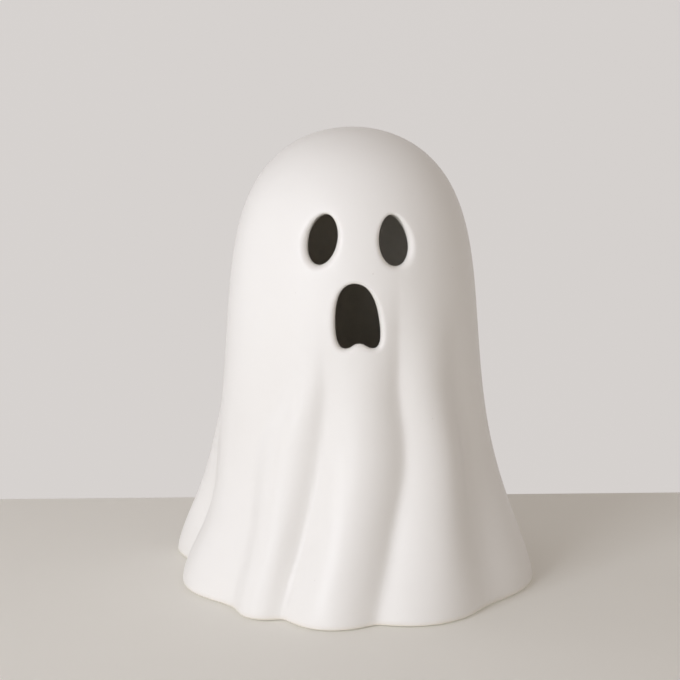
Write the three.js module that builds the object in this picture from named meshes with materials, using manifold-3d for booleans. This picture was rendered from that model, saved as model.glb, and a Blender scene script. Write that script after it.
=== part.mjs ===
// A glazed ceramic ghost lamp: a hollow draped figure with two eyes and a mouth cut through its wall,
// lit from inside by a battery light unit that is pushed into a round hole in its floor.
// Millimetres, +Z up, the face towards -Y, the table at z = 0 under the middle of the lamp.
import * as THREE from "three";
import { mergeVertices } from "three/addons/utils/BufferGeometryUtils.js";
import Module from "manifold-3d";

const wasm = await Module();
wasm.setup();

// Ghost body: overall form
const ghostHeight = 181;
const bodyRadius = 49; // the upright part, between the flare and the dome
const domePower = 7.3; // how square the shoulders of the dome are
const flareHeight = 47; // height over which the hem draws in to the upright part
const flarePower = 1.48;
const wall = 4.5;
const floorThickness = 5;
const floorFillet = 3; // inside, where the wall meets the floor
const hemLift = 0.7; // edge of the hem above the table
const hemRound = 1.2;
const footWidth = 6; // width of the ring at the hem that stands proud of the floor
const footRecess = 1.5;

// Folds. A valley climbs the body, and its path holds its angle in degrees from the front, + to +X,
// at four heights from the hem up to pathTop. It dies out at the height top. hem is how far its foot
// lies outside hemRadius, dip how far it is drawn in at mid height, soft how gently it opens and round
// how wide its bottom is rounded, in degrees. The lobe that follows it has its own hem and its own
// dip, below 0 where it swells.
const hemRadius = 68;
const pathTop = 90;
const foldRun = 65; // height over which the folds deepen
const hemRun = 22; // height over which the dip gives way to the radii at the hem
const hemDip = 0.15; // the share of the dip that is left at the hem
const folds = [
  { path: [-105.3, -100.8, -95.5, -102.5], top: 70, hem: 1, dip: 6.9, soft: 1.3, round: 1.5, lobe: { hem: 1.1, dip: 4.7 } },
  { path: [-51.8, -52, -53.8, -35.5], top: 117, hem: -4.5, dip: 3.9, soft: 1.2, round: 14, lobe: { hem: 0.1, dip: 0.6 } },
  { path: [-27.2, -22.5, -17.4, -13.9], top: 113, hem: -4.2, dip: 4.4, soft: 1.1, round: 1.7, lobe: { hem: 2.8, dip: 1.2 } },
  { path: [5.8, 13.5, 21.5, 19.1], top: 135, hem: -3.2, dip: 3.8, soft: 1.2, round: 1.3, lobe: { hem: 2.6, dip: -0.5 } },
  { path: [51.6, 55.8, 60.4, 55.2], top: 123, hem: -1, dip: 3.9, soft: 1.3, round: 5.3, lobe: { hem: 5, dip: -0.2 } },
  { path: [122, 121, 119, 118], top: 104, hem: -2, dip: 5, soft: 1.2, round: 3, lobe: { hem: 3.5, dip: 0.5 } },
  { path: [156, 154, 151, 150], top: 112, hem: -3, dip: 4.5, soft: 1, round: 3, lobe: { hem: 2, dip: 0.5 } },
  { path: [191, 191, 188, 184], top: 110, hem: -3.5, dip: 4.5, soft: 1, round: 3, lobe: { hem: 2.5, dip: 0.5 } },
  { path: [215, 219.5, 228.5, 228.5], top: 90, hem: -2.8, dip: 4, soft: 1.2, round: 4, lobe: { hem: 15.5, dip: 0.4 } },
];
const columnStep = 6.4; // degrees between the columns of the body's faces
const rowStep = 9; // mm between its rows below the dome
const domeRows = 9;
const domeStart = 75; // degrees from the crown where the dome's rows end

// Face. Angles are from the front, sizes are measured along the wall.
const leftEye = { angle: -17.8, z: 143.4, width: 11.9, height: 18.7, egg: -0.02, lean: 9.5 };
const rightEye = { angle: 19, z: 142.9, width: 12.2, height: 18.8, egg: 0.1, lean: -3 };
const mouth = { angle: 0.9, z: 103.3, width: 17.8, height: 24.3, sill: 1.9, lean: -4.4 };
const lipRadius = 2.8; // the rolled edge round each hole
const eyeSteps = 26;
const mouthSteps = 5; // per curve of the mouth's outline

// Light unit: cells, bay and door
const cellDiameter = 10.5;
const cellLength = 44.5;
const cellCount = 3;
const cellGap = 0.6; // between neighbouring cells and beside the outer ones
const nubDiameter = 3.8;
const nubLength = 0.8;
const fit = 0.3; // clearance between pieces that fit together
const glue = 0.1;
const springLength = 5;
const springWire = 0.7;
const springTurns = 3;
const springTopRadius = 1.9;
const springFootRadius = 3.4;
const plateThickness = 0.5;
const plateHeight = 9;
const platePress = 1.2; // how far the contact plates stay inside the width of a cell
const tabWidth = 2;
const tabRise = 1.8; // how far a contact's tab stands above the roof of the bay
const bayRoof = 1.6;
const bayBond = 1.2; // width on which the walls of the bay stand on the base
const unitFloor = 2; // thickness of the base and of the door in it
const doorLap = 2; // how far the door reaches under the walls of the bay
const doorGap = 0.4;
const doorGrip = { grooves: 3, width: 1.2, pitch: 2.6, length: 14, depth: 0.5, inset: 4 };
const thumbNotch = 5; // radius of the notch beside the free edge of the door
const pinRadius = 0.7;
const pinLength = 1.2;
const snapSlot = 1.1; // width of the slot through which a pin snaps into its socket

// Light unit: cup, lid and what they hold
const cupWall = 1.7;
const cornerMargin = 0.6; // between the corner of the door's opening and the outside of the cup
const flangeWidth = 7;
const ringSpace = 2; // between the cup and the hole in the ghost's floor
const beadReach = 1.2; // how far the silicone ring reaches over the floor's edge
const beadHeight = 2.6;
const postRadius = 3.2;
const postInset = 4; // from the outside of the cup to the axis of a screw post
const screwShank = 1;
const screwHead = 2.2;
const screwHeadHeight = 1.4;
const lidScrewLength = 8;
const boardScrewLength = 4;
const lidThickness = 1.8;
const standoffHeight = 2.2;
const standoffRadius = 2.5;
const board = { length: 40, width: 28, thickness: 1.2, corner: 2, screwX: 16, screwY: 10 };
const headroom = 6; // from the board to the lid
const ledRadius = 5;
const ledFlange = 5.8;
const ledFlangeHeight = 1.4;
const ledBarrel = 5.5;
const diffuserRadius = 15;
const diffuserHeight = 16;
const diffuserWall = 1.6;
const diffuserFlange = 3;
const diffuserSeat = 1.2; // thickness of the diffuser's flange
const chip = { x: -11, y: 4, length: 5, width: 4, height: 1.5 };
const resistor = { x: 10, y: -4, length: 6.4, radius: 1.15, end: 0.95 };

// Switch
const switchY = 27; // its distance from the middle, towards the front
const switchBody = { length: 13, width: 6.5, height: 5.5, wall: 1 };
const knob = { length: 4.4, width: 3.4, drop: 1.2, stemLength: 3, stemWidth: 2.2 };
const knobGrip = { grooves: 3, width: 0.5, pitch: 1.2, depth: 0.4 };
const knobTravel = 4;

// Faces round the light unit's turned pieces, and round its small ones
const manySides = 48;
const fewSides = 12;

// Wires and pads
const wireRadius = 0.6;
const padRadius = 4;

const glaze = new THREE.MeshStandardMaterial({ color: 0xf1eeea, roughness: 0.35 });
const plastic = new THREE.MeshStandardMaterial({ color: 0xe9e6df, roughness: 0.5 });
const frosted = new THREE.MeshStandardMaterial({ color: 0xf7f3e8, roughness: 0.6 });
const silicone = new THREE.MeshStandardMaterial({ color: 0xd9d9d6, roughness: 0.8 });
const darkPlastic = new THREE.MeshStandardMaterial({ color: 0x232325, roughness: 0.5 });
const lacquer = new THREE.MeshStandardMaterial({ color: 0x2c6b3f, roughness: 0.45 });
const amber = new THREE.MeshStandardMaterial({ color: 0xf3d9a0, roughness: 0.15 });
const cellSleeve = new THREE.MeshStandardMaterial({ color: 0x5a6d7d, roughness: 0.35, metalness: 0.6 });
const nickel = new THREE.MeshStandardMaterial({ color: 0xc9c8c4, roughness: 0.3, metalness: 1 });
const steel = new THREE.MeshStandardMaterial({ color: 0xa9abad, roughness: 0.35, metalness: 1 });
const beige = new THREE.MeshStandardMaterial({ color: 0xcdb892, roughness: 0.5 });
const redSleeve = new THREE.MeshStandardMaterial({ color: 0xb3261f, roughness: 0.5 });
const blackSleeve = new THREE.MeshStandardMaterial({ color: 0x1c1c1c, roughness: 0.5 });

const radians = THREE.MathUtils.degToRad;
const { lerp, smoothstep } = THREE.MathUtils;

// Solids

// A closed geometry as a solid that can be joined and cut.
function solidOf(geometry) {
  const bare = geometry.clone();
  bare.deleteAttribute("normal");
  bare.deleteAttribute("uv");
  const merged = mergeVertices(bare, 1e-4);
  return new wasm.Manifold(
    new wasm.Mesh({
      numProp: 3,
      vertProperties: merged.attributes.position.array,
      triVerts: new Uint32Array(merged.index.array),
    }),
  );
}

function geometryOf(solid) {
  const { vertProperties, triVerts } = solid.getMesh();
  const geometry = new THREE.BufferGeometry();
  geometry.setAttribute("position", new THREE.BufferAttribute(vertProperties, 3));
  geometry.setIndex(new THREE.BufferAttribute(triVerts, 1));
  geometry.computeVertexNormals();
  return geometry;
}

function cut(geometry, ...tools) {
  return geometryOf(tools.reduce((solid, tool) => solid.subtract(solidOf(tool)), solidOf(geometry)));
}

function join(geometry, ...others) {
  return geometryOf(others.reduce((solid, other) => solid.add(solidOf(other)), solidOf(geometry)));
}

function common(geometry, other) {
  return geometryOf(solidOf(geometry).intersect(solidOf(other)));
}

// A cylinder that stands on the height bottom.
function post(radius, bottom, top, x = 0, y = 0, sides = 20) {
  return new THREE.CylinderGeometry(radius, radius, top - bottom, sides)
    .rotateX(Math.PI / 2)
    .translate(x, y, (bottom + top) / 2);
}

// A block with its middle at x and y, between two heights.
function block(length, width, bottom, top, x = 0, y = 0) {
  return new THREE.BoxGeometry(length, width, top - bottom).translate(x, y, (bottom + top) / 2);
}

// A revolved profile of [radius, height] pairs about Z.
function turned(profile, sides) {
  const points = profile.map(([radius, height]) => new THREE.Vector2(radius, height));
  return new THREE.LatheGeometry(points, sides).rotateX(Math.PI / 2);
}

// A flat plate with rounded corners that stands on the height bottom.
function plate(length, width, corner, bottom, top) {
  const x = length / 2;
  const y = width / 2;
  const outline = new THREE.Shape();
  outline.absarc(x - corner, y - corner, corner, 0, Math.PI / 2);
  outline.absarc(corner - x, y - corner, corner, Math.PI / 2, Math.PI);
  outline.absarc(corner - x, corner - y, corner, Math.PI, 1.5 * Math.PI);
  outline.absarc(x - corner, corner - y, corner, 1.5 * Math.PI, 2 * Math.PI);
  const options = { depth: top - bottom, bevelEnabled: false, curveSegments: 4 };
  return new THREE.ExtrudeGeometry(outline, options).translate(0, 0, bottom);
}

// A closed skin over rings of equal count, each counter-clockwise as seen from the last ring's end.
// The ends are closed by fans, the last one about tip if it is given.
function loft(rings, tip) {
  const count = rings[0].length;
  const middle = (ring) =>
    ring.reduce((sum, point) => sum.add(point), new THREE.Vector3()).divideScalar(count);
  const points = [...rings.flat(), middle(rings[0]), tip ?? middle(rings.at(-1))];
  const index = [];
  const last = (rings.length - 1) * count;
  for (let j = 0; j < count; j++) {
    const next = (j + 1) % count;
    for (let row = 0; row < last; row += count) {
      index.push(row + j, row + next, row + count + next);
      index.push(row + j, row + count + next, row + count + j);
    }
    index.push(points.length - 2, next, j);
    index.push(points.length - 1, last + j, last + next);
  }
  const geometry = new THREE.BufferGeometry().setFromPoints(points);
  geometry.setIndex(index);
  return geometry;
}

// Ghost body

function dome(z) {
  return Math.sqrt(1 - (z / ghostHeight) ** domePower);
}

// The angle of a fold's valley at a height.
function valleyAngle(fold, z) {
  const path = new THREE.SplineCurve(fold.path.map((angle, i) => new THREE.Vector2(i, angle)));
  return path.getPoint(THREE.MathUtils.clamp(z / pathTop, 0, 1)).y;
}

// The fold after number i, turned on by 360 degrees past the last one.
function foldAfter(i) {
  return { fold: folds[(i + 1) % folds.length], turn: i + 1 < folds.length ? 0 : 360 };
}

// The lobe that an angle lies in at a height, its width in degrees, and how far through the lobe the
// angle lies, from 0 to 1.
function lobeAt(angle, z) {
  const first = valleyAngle(folds[0], z);
  const turned = first + THREE.MathUtils.euclideanModulo(angle - first, 360);
  for (let i = folds.length - 1; i >= 0; i--) {
    const start = valleyAngle(folds[i], z);
    if (turned < start) continue;
    const { fold, turn } = foldAfter(i);
    const width = valleyAngle(fold, z) + turn - start;
    return { i, width, through: (turned - start) / width };
  }
}

// How far an angle has risen out of a rounded valley, as a share of the rise to the middle of a lobe.
function risen(angle, round, width) {
  const rise = (turn) => Math.hypot(turn, round) - round;
  return rise(angle) / rise(width / 2);
}

// The outer radius of the draped cloth at an angle and a height.
function ghostRadius(angle, z) {
  const { i, width, through } = lobeAt(angle, z);
  const from = folds[i];
  const to = foldAfter(i).fold;
  const both = risen(through * width, from.round, width) * risen((1 - through) * width, to.round, width);
  const swell = both ** lerp(from.soft, to.soft, through);
  const ease = smoothstep(through, 0, 1);
  const hem = lerp(lerp(from.hem, to.hem, ease), from.lobe.hem, swell);
  const dip = lerp(lerp(from.dip, to.dip, ease), from.lobe.dip, swell);
  const flare = Math.exp(-((Math.max(z, 0) / flareHeight) ** flarePower));
  const above = lerp(from.top, to.top, through) - z;
  const drape = smoothstep(above, 0, foldRun) * (1 - (1 - hemDip) * Math.exp(-((z / hemRun) ** 2)));
  return dome(z) * (bodyRadius + (hemRadius + hem - bodyRadius) * flare) - dip * drape;
}

function around(angle, radius, z) {
  return new THREE.Vector3(radius * Math.sin(radians(angle)), -radius * Math.cos(radians(angle)), z);
}

// The columns of the body's faces run along the valleys, with a share of the lobe between them.
const columns = folds.flatMap((fold, i) => {
  const { fold: next, turn } = foldAfter(i);
  const count = Math.round((next.path[0] + turn - fold.path[0]) / columnStep);
  return Array.from({ length: count }, (_, k) => ({ fold, next, turn, share: k / count }));
});

function columnAngle(column, z) {
  return lerp(valleyAngle(column.fold, z), valleyAngle(column.next, z) + column.turn, column.share);
}

// Heights of the rows, from just above one height up to the last ring under the crown.
function rowHeights(bottom) {
  const domeBottom = ghostHeight * Math.cos(radians(domeStart)) ** (2 / domePower);
  const rows = Math.round((domeBottom - bottom) / rowStep);
  const straight = Array.from({ length: rows }, (_, k) => lerp(bottom, domeBottom, k / rows));
  const curved = Array.from({ length: domeRows - 1 }, (_, k) => {
    const fromCrown = radians(domeStart * (1 - k / domeRows));
    return ghostHeight * Math.cos(fromCrown) ** (2 / domePower);
  });
  return [...straight, ...curved];
}

function outerRing(z, inset = 0) {
  return columns.map((column) => {
    const angle = columnAngle(column, z);
    return around(angle, ghostRadius(angle, z) - inset, z);
  });
}

// A ring of the hollow, one wall inside the outer face that has the height z.
function innerRing(z) {
  const step = 0.05;
  return columns.map((column) => {
    const angle = columnAngle(column, z);
    const slope = (ghostRadius(angle, z + step) - ghostRadius(angle, z - step)) / (2 * step);
    const inward = wall / Math.hypot(1, slope);
    return around(angle, ghostRadius(angle, z) - inward, z + slope * inward);
  });
}

const floorBottom = hemLift + footRecess;
const floorTop = floorBottom + floorThickness;
const crown = new THREE.Vector3(0, 0, ghostHeight);

const outerSkin = loft(
  [outerRing(hemLift, hemRound), ...rowHeights(hemLift + hemRound).map((z) => outerRing(z))],
  crown,
);
const hollow = loft(
  [outerRing(floorTop, wall + floorFillet), ...rowHeights(floorTop + floorFillet).map(innerRing)],
  crown.clone().setZ(ghostHeight - wall),
);

function footRing(z) {
  return columns.map((column) => {
    const angle = columnAngle(column, hemLift);
    return around(angle, ghostRadius(angle, hemLift) - footWidth, z);
  });
}
const footHollow = loft([hemLift - 1, floorBottom].map(footRing));
const footInside = Math.min(...footRing(0).map((point) => point.length()));

// An outline tipped to the right by its lean.
function leaned(outline, lean) {
  return outline.map((point) => point.rotateAround(new THREE.Vector2(), radians(-lean)));
}

// The same with the foot of the outline left level.
function slanted(outline, lean) {
  return outline.map(({ x, y }) => new THREE.Vector2(x + y * Math.tan(radians(lean)), y));
}

// An egg, wider below, in mm from its middle.
function eyeOutline({ width, height, egg, lean }) {
  const outline = Array.from({ length: eyeSteps }, (_, k) => {
    const turn = (2 * Math.PI * k) / eyeSteps;
    const across = (width / 2) * Math.cos(turn) * (1 - egg * Math.sin(turn));
    return new THREE.Vector2(across, (height / 2) * Math.sin(turn));
  });
  return leaned(outline, lean);
}

// A tall arch with round lower corners and a sill that rises a little in the middle, in mm from
// the middle of its lower edge.
function mouthOutline({ width, height, sill, lean }) {
  const half = width / 2;
  const outline = new THREE.Shape();
  outline.moveTo(0, sill);
  outline.bezierCurveTo(0.28 * half, sill, 0.32 * half, 0, 0.62 * half, 0);
  outline.bezierCurveTo(0.9 * half, 0, half, 0.12 * height, half, 0.28 * height);
  outline.bezierCurveTo(half, 0.68 * height, 0.74 * half, height, 0, height);
  outline.bezierCurveTo(-0.74 * half, height, -half, 0.68 * height, -half, 0.28 * height);
  outline.bezierCurveTo(-half, 0.12 * height, -0.9 * half, 0, -0.62 * half, 0);
  outline.bezierCurveTo(-0.32 * half, 0, -0.28 * half, sill, 0, sill);
  return slanted(outline.getPoints(mouthSteps).slice(0, -1), lean);
}

// An outline grown outwards by a distance along its own normals.
function grown(outline, distance) {
  return outline.map((point, k) => {
    const before = outline.at(k - 1);
    const after = outline[(k + 1) % outline.length];
    const along = after.clone().sub(before).normalize();
    return new THREE.Vector2(point.x + along.y * distance, point.y - along.x * distance);
  });
}

// The solid that cuts a hole with a rolled lip: each ring lies one depth under the outer face.
function holeCutter(outline, { angle, z }) {
  const scale = 180 / (Math.PI * ghostRadius(angle, z));
  const ringAt = ([growth, depth]) =>
    grown(outline, growth).map((point) => {
      const turn = angle + point.x * scale;
      const height = z + point.y;
      return around(turn, ghostRadius(turn, height) - depth, height);
    });
  const roll = [90, 60, 40, 22].map((turn) => {
    const sine = Math.sin(radians(turn));
    const cosine = Math.cos(radians(turn));
    return [lipRadius * (1 - sine), lipRadius * (1 - cosine)];
  });
  const lastTurn = radians(22);
  const flareOut = 4;
  const mouthOfCut = [
    roll.at(-1)[0] + flareOut * Math.cos(lastTurn),
    roll.at(-1)[1] - flareOut * Math.sin(lastTurn),
  ];
  const clearOfWall = [mouthOfCut[0], -2 * wall];
  return loft([[0, 2 * wall], ...roll, mouthOfCut, clearOfWall].map(ringAt));
}

// Light unit: sizes that follow from its cells

const bayLength = cellLength + springLength + 2 * plateThickness + 5 * fit;
const bayWidth = cellCount * cellDiameter + (cellCount + 1) * cellGap;
const doorLength = bayLength + 2 * doorLap;
const doorWidth = bayWidth + 2 * doorLap;
const bayWall = doorLap + doorGap + bayBond;
const cupRadius = Math.hypot(doorLength / 2 + doorGap, doorWidth / 2 + doorGap) + cornerMargin;
const flangeRadius = cupRadius + flangeWidth;
const holeRadius = cupRadius + ringSpace;
const recessRadius = flangeRadius + fit;

// Heights in the light unit, from its underside
const cellAxis = unitFloor + fit + cellDiameter / 2;
const roofUnderside = unitFloor + cellDiameter + 2 * cellGap;
const roofTop = roofUnderside + bayRoof;
const boardBottom = roofTop + standoffHeight;
const boardTop = boardBottom + board.thickness;
const lidBottom = boardTop + headroom;
const lidTop = lidBottom + lidThickness;
const cupTop = lidBottom - glue;
const cupInside = cupRadius - cupWall;
const postCircle = cupRadius - postInset;
const postAngles = [90, 210, 330];
const knobSlot = { length: knob.length + knobTravel + 2 * fit, width: knob.width + 2 * fit };

const hingeX = unitFloor / 2 - doorLength / 2;
const hingeZ = unitFloor / 2;
const cellPitch = cellDiameter + cellGap;
const plateWidth = cellDiameter - platePress;
const plateX = bayLength / 2 - fit - plateThickness / 2; // middle of a contact plate
const tabY = cellPitch - plateWidth / 2 + tabWidth / 2;
const tabTop = roofTop + tabRise;
const screwCorners = [1, -1].map((side) => [side * board.screwX, side * board.screwY]);
const plainCorners = [1, -1].map((side) => [side * board.screwX, -side * board.screwY]);

// A named mesh in a group, at a place in it.
function add(group, name, geometry, material, x = 0, y = 0, z = 0) {
  const mesh = new THREE.Mesh(geometry, material);
  mesh.name = name;
  mesh.position.set(x, y, z);
  group.add(mesh);
  return mesh;
}

// A cylinder along Y, with its middle at x and z.
function bar(radius, length, x = 0, z = 0, sides = 20) {
  return new THREE.CylinderGeometry(radius, radius, length, sides).translate(x, 0, z);
}

function onCircle(radius, degrees) {
  return [radius * Math.cos(radians(degrees)), radius * Math.sin(radians(degrees))];
}

// Parallel grooves across a face that looks down, to be cut from it.
function gripGrooves({ grooves, width, pitch, length, depth }, face, x, y = 0) {
  return Array.from({ length: grooves }, (_, k) =>
    block(width, length, face - 1, face + depth, x + (k - (grooves - 1) / 2) * pitch, y),
  );
}

// A tube of a curve's whole length.
function tube(curve, radius, steps, sides) {
  const section = new THREE.Shape(
    Array.from({ length: sides }, (_, k) => new THREE.Vector2(...onCircle(radius, (360 * k) / sides))),
  );
  return new THREE.ExtrudeGeometry(section, { steps, extrudePath: curve, bevelEnabled: false });
}

const lamp = new THREE.Group();
add(
  lamp,
  "ghost_body",
  cut(
    outerSkin,
    hollow,
    footHollow,
    post(recessRadius, hemLift, floorBottom + unitFloor + fit, 0, 0, manySides),
    post(holeRadius, floorBottom, floorTop + 1, 0, 0, manySides),
    holeCutter(eyeOutline(leftEye), leftEye),
    holeCutter(eyeOutline(rightEye), rightEye),
    holeCutter(mouthOutline(mouth), mouth),
  ),
  glaze,
);

// The pads stick to the underside of the ghost's floor, midway between the light unit and the foot,
// and are all that touches the table.
const padCircle = (recessRadius + footInside) / 2;
for (let k = 0; k < 4; k++) {
  const [x, y] = onCircle(padCircle, 45 + 90 * k);
  add(lamp, `anti_slip_pad_${k + 1}`, post(padRadius, 0, floorBottom - glue), silicone, x, y);
}

// Light unit

const lightUnit = new THREE.Group();
lightUnit.position.z = floorBottom;
lamp.add(lightUnit);

const cup = turned(
  [
    [0, 0],
    [flangeRadius, 0],
    [flangeRadius, unitFloor],
    [cupRadius, unitFloor],
    [cupRadius, cupTop],
    [cupInside, cupTop],
    [cupInside, unitFloor],
    [0, unitFloor],
  ],
  manySides,
);
const bay = common(
  block(bayLength + 2 * bayWall, bayWidth + 2 * bayWall, unitFloor / 2, roofTop),
  post(cupRadius - cupWall / 2, 0, roofTop, 0, 0, manySides),
);
const lidPosts = postAngles.map((angle) =>
  post(postRadius, roofUnderside, cupTop, ...onCircle(postCircle, angle)),
);
const standoffs = [...screwCorners, ...plainCorners].map(([x, y]) =>
  post(standoffRadius, roofTop - bayRoof / 2, boardBottom - glue, x, y, fewSides),
);
const lidScrewHoles = postAngles.map((angle) =>
  post(screwShank + fit, lidTop - lidScrewLength - 1, cupTop + 1, ...onCircle(postCircle, angle), fewSides),
);
const boardScrewHoles = screwCorners.map(([x, y]) =>
  post(screwShank + fit, boardTop - boardScrewLength - fit, boardTop + 1, x, y, fewSides),
);
const tabSlots = [1, -1].map((side) =>
  block(plateThickness + 2 * fit, tabWidth + 2 * fit, cellAxis, tabTop, side * plateX, -side * tabY),
);
const pinSpan = doorWidth + 2 * pinLength + 2 * fit;
add(
  lightUnit,
  "lamp_housing",
  cut(
    join(cup, bay, ...lidPosts, ...standoffs),
    block(bayLength, bayWidth, 0, roofUnderside),
    block(doorLength + 2 * doorGap, doorWidth + 2 * doorGap, -1, unitFloor),
    bar(pinRadius + fit, pinSpan, hingeX, hingeZ),
    block(snapSlot, pinSpan, -1, hingeZ, hingeX),
    post(thumbNotch, -1, 0.6 * unitFloor, doorLength / 2 + doorGap),
    block(knobSlot.length, knobSlot.width, -1, unitFloor + 1, 0, -switchY),
    ...tabSlots,
    ...lidScrewHoles,
    ...boardScrewHoles,
  ),
  plastic,
);

// The ring grips the cup, and its bead snaps over the edge of the hole in the ghost's floor.
const ringInside = cupRadius + fit;
const ringOutside = holeRadius - fit;
add(
  lightUnit,
  "retaining_ring",
  turned(
    [
      [ringInside, unitFloor + fit],
      [ringOutside, unitFloor + fit],
      [ringOutside, floorThickness + fit],
      [holeRadius + beadReach, floorThickness + 2 * fit],
      [holeRadius + beadReach / 3, floorThickness + beadHeight],
      [ringInside, floorThickness + beadHeight + fit],
      [ringInside, unitFloor + fit],
    ],
    manySides,
  ),
  silicone,
);

// Battery door, in a group on the axis of its hinge
const doorHinge = new THREE.Group();
doorHinge.position.set(hingeX, 0, hingeZ);
lightUnit.add(doorHinge);
const doorReach = doorLength / 2 - hingeX;
add(
  doorHinge,
  "battery_door",
  cut(
    join(
      block(doorReach, doorWidth, -hingeZ, hingeZ, doorReach / 2),
      bar(hingeZ, doorWidth),
      bar(pinRadius, doorWidth + 2 * pinLength),
    ),
    ...gripGrooves(doorGrip, -hingeZ, doorReach - doorGrip.inset - doorGrip.pitch),
  ),
  plastic,
);

// Cells, from the front to the back, with their nubs to the right, left and right
const cell = turned(
  [
    [0, 0],
    [cellDiameter / 2 - fit, 0],
    [cellDiameter / 2, fit],
    [cellDiameter / 2, cellLength - nubLength - fit],
    [cellDiameter / 2 - fit, cellLength - nubLength],
    [nubDiameter / 2, cellLength - nubLength],
    [nubDiameter / 2, cellLength],
    [0, cellLength],
  ],
  20,
);
const cells = Array.from({ length: cellCount }, (_, k) => ({
  y: (k - (cellCount - 1) / 2) * cellPitch,
  side: k % 2 === 0 ? 1 : -1,
}));
const nubTip = plateX - plateThickness / 2 - fit;
cells.forEach(({ y, side }, k) => {
  const flatEnd = side * (nubTip - cellLength);
  const mesh = add(lightUnit, `battery_${k + 1}`, cell, cellSleeve, flatEnd, y, cellAxis);
  mesh.rotation.y = (side * Math.PI) / 2;
});

// A contact spring: a cone of wire whose ends stand straight on the plate and on the cell.
class SpringCurve extends THREE.Curve {
  getPoint(t, target = new THREE.Vector3()) {
    const height = t * springLength;
    const wound = THREE.MathUtils.clamp((height - springWire) / (springLength - 2 * springWire), 0, 1);
    const radius = lerp(springFootRadius, springTopRadius, wound);
    const [x, y] = onCircle(radius, 360 * springTurns * wound);
    return target.set(x, y, height);
  }
}
const springCurve = new SpringCurve();
const springSteps = 8 * springTurns + 4;
const spring = tube(springCurve, springWire / 2, springSteps, 5);

// The least gap between two stretches of the spring that are more than half a turn apart.
function leastGap(curve, steps, diameter) {
  const points = curve.getSpacedPoints(steps * 4);
  const apart = Math.round(points.length / springTurns / 2);
  let least = Infinity;
  for (let i = 0; i < points.length; i++)
    for (let j = i + apart; j < points.length; j++)
      least = Math.min(least, points[i].distanceTo(points[j]) - diameter);
  return least;
}
console.log(`contact springs: least gap between turns ${leastGap(springCurve, springSteps, springWire).toFixed(2)} mm`);

cells.forEach(({ y, side }, k) => {
  const foot = -side * nubTip;
  const mesh = add(lightUnit, `contact_spring_${k + 1}`, spring, steel, foot, y, cellAxis);
  mesh.rotation.y = (side * Math.PI) / 2;
});

// Contact plates: a single one with a tab at each end of the row, and a bridge beside it
function contact(width) {
  return block(plateThickness, width, -plateHeight / 2, plateHeight / 2);
}
function tabbed(side) {
  const tab = block(plateThickness, tabWidth, 0, tabTop - cellAxis, 0, side * (cellPitch - tabY));
  return join(contact(plateWidth), tab);
}
const bridge = contact(cellPitch + plateWidth);
add(lightUnit, "positive_plate", tabbed(1), nickel, plateX, -cellPitch, cellAxis);
add(lightUnit, "negative_plate", tabbed(-1), nickel, -plateX, cellPitch, cellAxis);
add(lightUnit, "bridge_plate_a", bridge, nickel, plateX, cellPitch / 2, cellAxis);
add(lightUnit, "bridge_plate_b", bridge, nickel, -plateX, -cellPitch / 2, cellAxis);

// Circuit board and what is soldered to it
const boardHoles = [...screwCorners, ...plainCorners].map(([x, y]) =>
  post(screwShank + fit, boardBottom - 1, boardTop + 1, x, y, fewSides),
);
add(
  lightUnit,
  "circuit_board",
  cut(plate(board.length, board.width, board.corner, boardBottom, boardTop), ...boardHoles),
  lacquer,
);

const chipLegs = [1, -1].flatMap((side) =>
  Array.from({ length: 4 }, (_, k) =>
    block(0.45, 1.1, 0, 0.5 * chip.height, (k - 1.5) * 1.27, side * (chip.width / 2 + 0.4)),
  ),
);
add(
  lightUnit,
  "controller_chip",
  join(block(chip.length, chip.width, 0.1, chip.height), ...chipLegs),
  darkPlastic,
  chip.x,
  chip.y,
  boardTop + glue,
);

const leadRadius = 0.3;
const leadReach = resistor.length / 2 + resistor.end;
const resistorAxis = resistor.radius + 0.2;
const resistorBody = turned(
  [
    [0, -resistor.length / 2],
    [resistor.radius, -resistor.length / 2 + 0.3],
    [resistor.radius, -resistor.length / 2 + 1.4],
    [0.8 * resistor.radius, -resistor.length / 2 + 2],
    [0.8 * resistor.radius, resistor.length / 2 - 2],
    [resistor.radius, resistor.length / 2 - 1.4],
    [resistor.radius, resistor.length / 2 - 0.3],
    [0, resistor.length / 2],
  ],
  fewSides,
).rotateY(Math.PI / 2);
const resistorLead = post(leadRadius, -leadReach, leadReach, 0, 0, 8).rotateY(Math.PI / 2);
const resistorLegs = [1, -1].map((side) =>
  post(leadRadius, -resistorAxis, leadRadius, side * leadReach, 0, 8),
);
add(
  lightUnit,
  "resistor",
  join(resistorBody, resistorLead, ...resistorLegs),
  beige,
  resistor.x,
  resistor.y,
  boardTop + glue + resistorAxis,
);

const quarter = Array.from({ length: 5 }, (_, k) => radians(18 * (k + 1)));
add(
  lightUnit,
  "led",
  turned(
    [
      [0, 0],
      [ledFlange, 0],
      [ledFlange, ledFlangeHeight],
      [ledRadius, ledFlangeHeight],
      [ledRadius, ledBarrel],
      ...quarter.map((turn) => [
        turn === quarter.at(-1) ? 0 : ledRadius * Math.cos(turn),
        ledBarrel + ledRadius * Math.sin(turn),
      ]),
    ],
    16,
  ),
  amber,
  0,
  0,
  boardTop + glue,
);

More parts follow.
